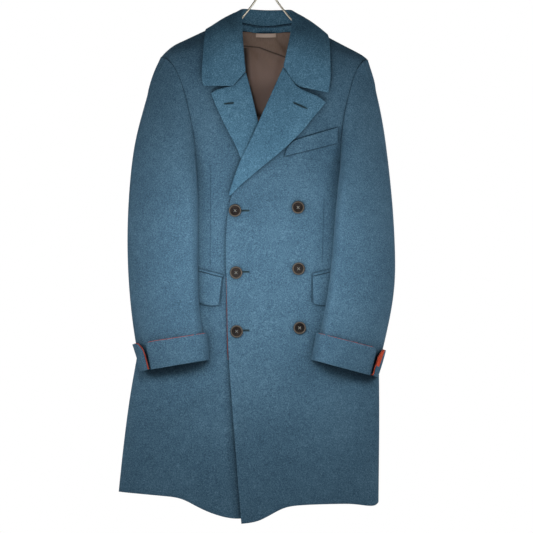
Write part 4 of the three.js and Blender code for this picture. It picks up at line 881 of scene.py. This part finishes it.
@dataclass
class Button:
    """A sewn-on button: turned disc with four holes and crossed thread."""

    node: str
    form: ButtonForm = field(default_factory=ButtonForm)

    def placed(self) -> tuple[Vector, Vector]:
        """Reads the button's place from its CAD solid.

        Returns:
            The middle of the foot and the outward direction.
        """
        verts = [v.co.copy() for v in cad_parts[self.node].data.vertices]
        low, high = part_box(self.node)
        middle = (low + high) / 2
        rim = [v for v in verts if (v - middle).length > self.form.radius * 0.9]
        rim.sort(key=lambda v: math.atan2(v.z - middle.z, v.x - middle.x))
        normal = Vector()
        for first, second in zip(rim, rim[1:] + rim[:1]):
            normal += (first - middle).cross(second - middle)
        normal.normalize()
        if normal.y > 0:
            normal.negate()
        return middle - normal * (self.form.thick / 2), normal

    def disc(self) -> bpy.types.Object:
        """The turned disc, lying flat at the origin and without its holes."""
        shape = bmesh.new()
        ring = [shape.verts.new((across, 0.0, high)) for across, high in self.form.profile()]
        edges = [shape.edges.new(pair) for pair in zip(ring, ring[1:])]
        bmesh.ops.spin(shape, geom=ring + edges, cent=(0, 0, 0), axis=(0, 0, 1), dvec=(0, 0, 0),
                       angle=math.tau, steps=self.form.segments, use_merge=True)
        bmesh.ops.remove_doubles(shape, verts=shape.verts, dist=1e-6)
        bmesh.ops.recalc_face_normals(shape, faces=shape.faces)
        mesh = bpy.data.meshes.new(self.node + "_turned")
        shape.to_mesh(mesh)
        shape.free()
        return new_object(self.node + "_turned", mesh)

    def hole_aim(self, k: int) -> Vector:
        """The direction from the button's middle to a hole."""
        angle = math.pi / 4 + k * math.tau / self.form.holes
        return Vector((math.cos(angle), math.sin(angle), 0))

    def hole_pins(self) -> bpy.types.Object:
        """Round pins that cut the holes."""
        form = self.form
        pins = bmesh.new()
        for k in range(form.holes):
            added = bmesh.ops.create_cone(pins, cap_ends=True, segments=form.hole_sides,
                                          radius1=form.hole_radius, radius2=form.hole_radius,
                                          depth=0.02)
            bmesh.ops.translate(pins, verts=added["verts"], vec=self.hole_aim(k) * form.hole_place)
        mesh = bpy.data.meshes.new("holes")
        pins.to_mesh(mesh)
        pins.free()
        return new_object("holes", mesh)

    def build(self) -> bpy.types.Object:
        foot, normal = self.placed()
        turn = Vector((0, 0, 1)).rotation_difference(normal)
        made = self.disc()
        cutter = self.hole_pins()
        cut = made.modifiers.new("holes", "BOOLEAN")
        cut.operation, cut.object, cut.solver = "DIFFERENCE", cutter, "EXACT"
        baked(made)
        bpy.data.objects.remove(cutter)
        # Share of the radius, which places the painted highlight ring on the rim
        reach = made.data.attributes.new("reach", "FLOAT", "POINT")
        for vertex in made.data.vertices:
            reach.data[vertex.index].value = vertex.co.xy.length / self.form.radius
            vertex.co = foot + turn @ vertex.co
        finish_object(made, FINISHES[Slot.HORN])
        made.data.set_sharp_from_angle(angle=math.radians(35))
        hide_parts(self.node)
        self.thread(foot, turn)
        return made

    def thread(self, foot: Vector, turn: Quaternion) -> None:
        """Two crossed bars of thread between opposite holes.

        Args:
            foot: the middle of the button's foot.
            turn: the turn from upright to the button's outward direction.
        """
        form = self.form
        top = form.thick - form.dish
        place = form.hole_place
        for k in range(form.holes // 2):
            aim = self.hole_aim(k)
            crown = top + form.thread_high + k * form.thread_cross
            run = ((-place, top - form.thread_sunk), (-place, top - form.thread_bend),
                   (-place * 0.5, crown), (place * 0.5, crown),
                   (place, top - form.thread_bend), (place, top - form.thread_sunk))
            line = [foot + turn @ (aim * out + Vector((0, 0, high))) for out, high in run]
            tube(f"{self.node}_thread_{k + 1}", line, form.thread_radius, BUTTON_THREAD, 10)


BUTTONS = tuple(Button(f"button_{k}") for k in range(1, 7))


def tube(name: str, points: list[Vector], radius: float, finish: Finish,
         around: int = 8, closed: bool = False) -> bpy.types.Object:
    """A round tube along points, with closed ends unless it is a ring.

    Args:
        name: the piece's name.
        points: the centre line.
        radius: the tube's radius in metres.
        finish: its finish.
        around: how many sides its section has.
        closed: whether the last point joins the first.

    Returns:
        The new object.
    """
    shape = bmesh.new()
    rings = []
    count = len(points)
    side = None
    for i, point in enumerate(points):
        ahead = points[(i + 1) % count] if closed or i < count - 1 else point
        behind = points[i - 1] if closed or i > 0 else point
        aim = (ahead - behind).normalized()
        if side is None:
            side = aim.orthogonal().normalized()
        side = (side - aim * side.dot(aim)).normalized()
        up = aim.cross(side)
        rings.append([shape.verts.new(point + radius * (math.cos(t) * side + math.sin(t) * up))
                      for t in (math.tau * k / around for k in range(around))])
    pairs = zip(rings, rings[1:] + rings[:1]) if closed else zip(rings, rings[1:])
    for first, second in pairs:
        for k in range(around):
            n = (k + 1) % around
            shape.faces.new((first[k], first[n], second[n], second[k]))
    if not closed:
        shape.faces.new(reversed(rings[0]))
        shape.faces.new(rings[-1])
    bmesh.ops.recalc_face_normals(shape, faces=shape.faces)
    mesh = bpy.data.meshes.new(name)
    shape.to_mesh(mesh)
    shape.free()
    made = new_object(name, mesh)
    finish_object(made, finish)
    return made


class Surface:
    """Finds the front of a finished cloth piece behind a place seen from the front."""

    def __init__(self, name: str) -> None:
        """Reads the piece's finished mesh."""
        graph = bpy.context.evaluated_depsgraph_get()
        self.tree = BVHTree.FromObject(bpy.data.objects[name], graph)

    def at(self, x: float, z: float, lift: float = 0.0) -> Vector:
        """The point on the front at a place.

        Args:
            x: the place across the coat, in metres.
            z: the place up the coat, in metres.
            lift: how far the point is moved out of the cloth, in metres.

        Returns:
            The point.
        """
        hit, normal, _, _ = self.tree.ray_cast(Vector((x, -1.0, z)), Vector((0, 1, 0)))
        if hit is None:
            hit, normal, _, _ = self.tree.find_nearest(Vector((x, -0.06, z)))
        if normal.y > 0:
            normal.negate()
        return hit + normal * lift


@dataclass(frozen=True)
class Buttonhole:
    """A worked buttonhole: a raised ring of thread round a slit, with a round eye."""

    name: str
    on: str
    x1: float
    z1: float
    x2: float
    z2: float
    half: float = 0.0014
    around: int = 36
    ring_radius: float = 0.0007
    slit_radius: float = 0.0006

    def build(self) -> None:
        """Makes the ring of thread and a dark tube inside it, painted shade in the slit."""
        surface = Surface(self.on)
        start, end = Vector((self.x1, 0, self.z1)), Vector((self.x2, 0, self.z2))
        aim = (end - start).normalized()
        across = Vector((-aim.z, 0, aim.x))
        length = (end - start).length
        outline = []
        for k in range(self.around):
            turn = math.tau * k / self.around
            along = (math.cos(turn) + 1) / 2
            eye = 1.0 + 0.7 * math.exp(-(((along - 0.08) / 0.12) ** 2))
            half = math.sin(turn) * self.half * eye
            outline.append(start + aim * (along * length) + across * half)
        ring = [surface.at(p.x, p.z, 0.0003) for p in outline]
        tube(f"{self.name}_ring", ring, self.ring_radius, THREAD, 8, closed=True)
        # A dark tube along the slit: painted shade in the cut
        middle = [start + aim * (length * share) for share in (0.06, 0.3, 0.6, 0.92)]
        slit = [surface.at(p.x, p.z, 0.0001) for p in middle]
        tube(f"{self.name}_slit", slit, self.slit_radius, SLIT_SHADE, 6)


BUTTONHOLES = (
    Buttonhole("buttonhole_1", "front_over_cloth", -0.0355, -0.5560, -0.0535, -0.5560),
    Buttonhole("buttonhole_2", "front_over_cloth", -0.0355, -0.6876, -0.0535, -0.6876),
    Buttonhole("buttonhole_3", "front_over_cloth", -0.0355, -0.8134, -0.0535, -0.8134),
    Buttonhole("buttonhole_lapel_under", "lapel_under_cloth", -0.0692, -0.3244, -0.0900, -0.3268),
    Buttonhole("buttonhole_lapel_over", "lapel_over_cloth", 0.0590, -0.3240, 0.0885, -0.3373),
)


@dataclass(frozen=True)
class FrontEdgeLine:
    """The thin red-brown line of the inside cloth that shows along the over front's edge."""

    points: tuple[tuple[float, float], ...] = (
        (-0.0850, -0.700), (-0.0845, -0.727), (-0.0835, -0.790), (-0.0828, -0.840),
        (-0.0815, -0.877),
    )

    def build(self) -> None:
        """Makes the line just behind the front's edge."""
        surface = Surface("front_over_cloth")
        line = [surface.at(x + 0.0028, z) + Vector((-0.0030, 0.0020, 0)) for x, z in self.points]
        tube("front_edge_line", line, 0.0005, RED_EDGE, 6)


@dataclass(frozen=True)
class HangerWire:
    """The hanger's wire, smooth and a little fuller by swell where it shows over the collar."""

    node: str
    swell: float = 0.0
    shown_x: tuple[float, float] = (0.050, 0.062)

    def build(self) -> bpy.types.Object:
        copy = merged_copy(self.node)
        for vertex in copy.verts:
            hidden = smooth(*self.shown_x, abs(vertex.co.x))
            vertex.co += vertex.normal * (self.swell * (1 - hidden))
        mesh = bpy.data.meshes.new(self.node + "_wire")
        copy.to_mesh(mesh)
        copy.free()
        made = new_object(self.node + "_wire", mesh)
        finish_object(made, FINISHES[Slot.METAL])
        made.data.set_sharp_from_angle(angle=math.radians(50))
        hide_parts(self.node)
        return made


HANGER = (
    HangerWire("hanger_hook"),
    HangerWire("hanger_ferrule"),
    HangerWire("hanger_arms", 0.0006),
)


@dataclass(frozen=True)
class Lamp:
    """A soft rectangular light."""

    name: str
    place: tuple[float, float, float]
    aim: tuple[float, float, float]
    width: float
    height: float
    power: float

    def build(self) -> None:
        """Makes the light; it isn't seen by the camera."""
        data = bpy.data.lights.new(self.name, "AREA")
        data.shape = "RECTANGLE"
        data.size, data.size_y = self.width, self.height
        data.energy = self.power
        lamp = bpy.data.objects.new(self.name, data)
        lamp.location = self.place
        beam = Vector(self.aim) - Vector(self.place)
        lamp.rotation_euler = beam.to_track_quat("-Z", "Y").to_euler()
        lamp.visible_camera = False
        bpy.context.scene.collection.objects.link(lamp)


@dataclass(frozen=True)
class Studio:
    """Pale floor, even soft light and the camera at the photo's angle."""

    distance: float = 14.0
    width: float = 1.146
    centre: tuple[float, float, float] = (0.0011, -0.05, -0.6761)
    sensor: float = 36.0
    floor_z: float = -1.75
    floor_half: float = 2.5
    ambient: float = 0.09
    lamps: tuple[Lamp, ...] = (
        Lamp("left", (-0.76, -0.60, -0.60), (0.0, 0.0, -0.68), 0.3, 0.3, 2.2),
        Lamp("right", (0.76, -0.60, -0.58), (0.0, 0.0, -0.66), 0.3, 0.3, 2.2),
        Lamp("front", (-0.04, -0.50, -0.66), (0.02, 0.0, -0.70), 0.45, 0.14, 2.4),
        Lamp("upper", (-0.10, -0.85, -0.10), (0.0, 0.0, -0.24), 0.2, 0.2, 1.0),
        Lamp("side_left", (-1.5, 0.30, -0.60), (0.0, 0.0, -0.66), 0.8, 0.8, 5.0),
        Lamp("side_right", (1.5, 0.30, -0.60), (0.0, 0.0, -0.66), 0.8, 0.8, 6.0),
        Lamp("behind", (0.4, 1.9, -0.3), (0.0, 0.0, -0.7), 1.6, 1.6, 34.0),
    )

    def build(self) -> None:
        """Makes the surroundings, the floor, the lights and the camera."""
        self.world()
        self.floor()
        for lamp in self.lamps:
            lamp.build()
        self.camera()

    def floor(self) -> None:
        """A pale floor below the coat that glows as white paper does in daylight."""
        floor_mesh = bpy.data.meshes.new("floor")
        shape = bmesh.new()
        bmesh.ops.create_grid(shape, x_segments=1, y_segments=1, size=self.floor_half)
        bmesh.ops.translate(shape, verts=shape.verts, vec=(0, 0, self.floor_z))
        shape.to_mesh(floor_mesh)
        shape.free()
        floor = new_object("floor", floor_mesh)
        pale = NodeTree("floor_pale")
        seen = pale.add("ShaderNodeLightPath").outputs["Is Camera Ray"]
        glow = pale.math("ADD", pale.math("MULTIPLY", seen, 0.55), 0.12)
        pale.set(Base_Color=(0.9, 0.9, 0.9, 1.0), Roughness=0.8, Emission_Color=WHITE,
                 Emission_Strength=glow)
        floor.data.materials.append(pale.material)

    def camera(self) -> None:
        """A far camera straight in front, as the photo was taken."""
        data = bpy.data.cameras.new("camera")
        data.sensor_width = self.sensor
        data.lens = self.sensor * self.distance / self.width
        data.clip_end = 50
        camera = bpy.data.objects.new("camera", data)
        camera.location = Vector(self.centre) + Vector((0, -self.distance, 0))
        camera.rotation_euler = (math.pi / 2, 0, 0)
        bpy.context.scene.collection.objects.link(camera)
        bpy.context.scene.camera = camera

    def world(self) -> None:
        """White surroundings that light the coat only a little."""
        world = bpy.data.worlds.new("studio")
        world.use_nodes = True
        tree = world.node_tree
        tree.nodes.clear()
        white = tree.nodes.new("ShaderNodeBackground")
        soft = tree.nodes.new("ShaderNodeBackground")
        soft.inputs["Strength"].default_value = self.ambient
        path = tree.nodes.new("ShaderNodeLightPath")
        mixed = tree.nodes.new("ShaderNodeMixShader")
        output = tree.nodes.new("ShaderNodeOutputWorld")
        for background in (white, soft):
            background.inputs["Color"].default_value = WHITE
        tree.links.new(path.outputs["Is Camera Ray"], mixed.inputs[0])
        tree.links.new(soft.outputs[0], mixed.inputs[1])
        tree.links.new(white.outputs[0], mixed.inputs[2])
        tree.links.new(mixed.outputs[0], output.inputs["Surface"])
        bpy.context.scene.world = world
        bpy.context.scene.view_settings.view_transform = "Standard"


def main() -> None:
    """Builds the coat piece by piece, then the studio."""
    for piece in CLOTH:
        made = piece.build()
        LOG.info("cloth %s: %d faces", made.name, len(made.data.polygons))
    for button in BUTTONS:
        LOG.info("button %s", button.build().name)
    for hole in BUTTONHOLES:
        hole.build()
        LOG.info("sewing %s", hole.name)
    FrontEdgeLine().build()
    LOG.info("sewing front_edge_line")
    for wire in HANGER:
        LOG.info("hanger %s", wire.build().name)
    Studio().build()
    LOG.info("studio")


if __name__ == "__main__":
    main()
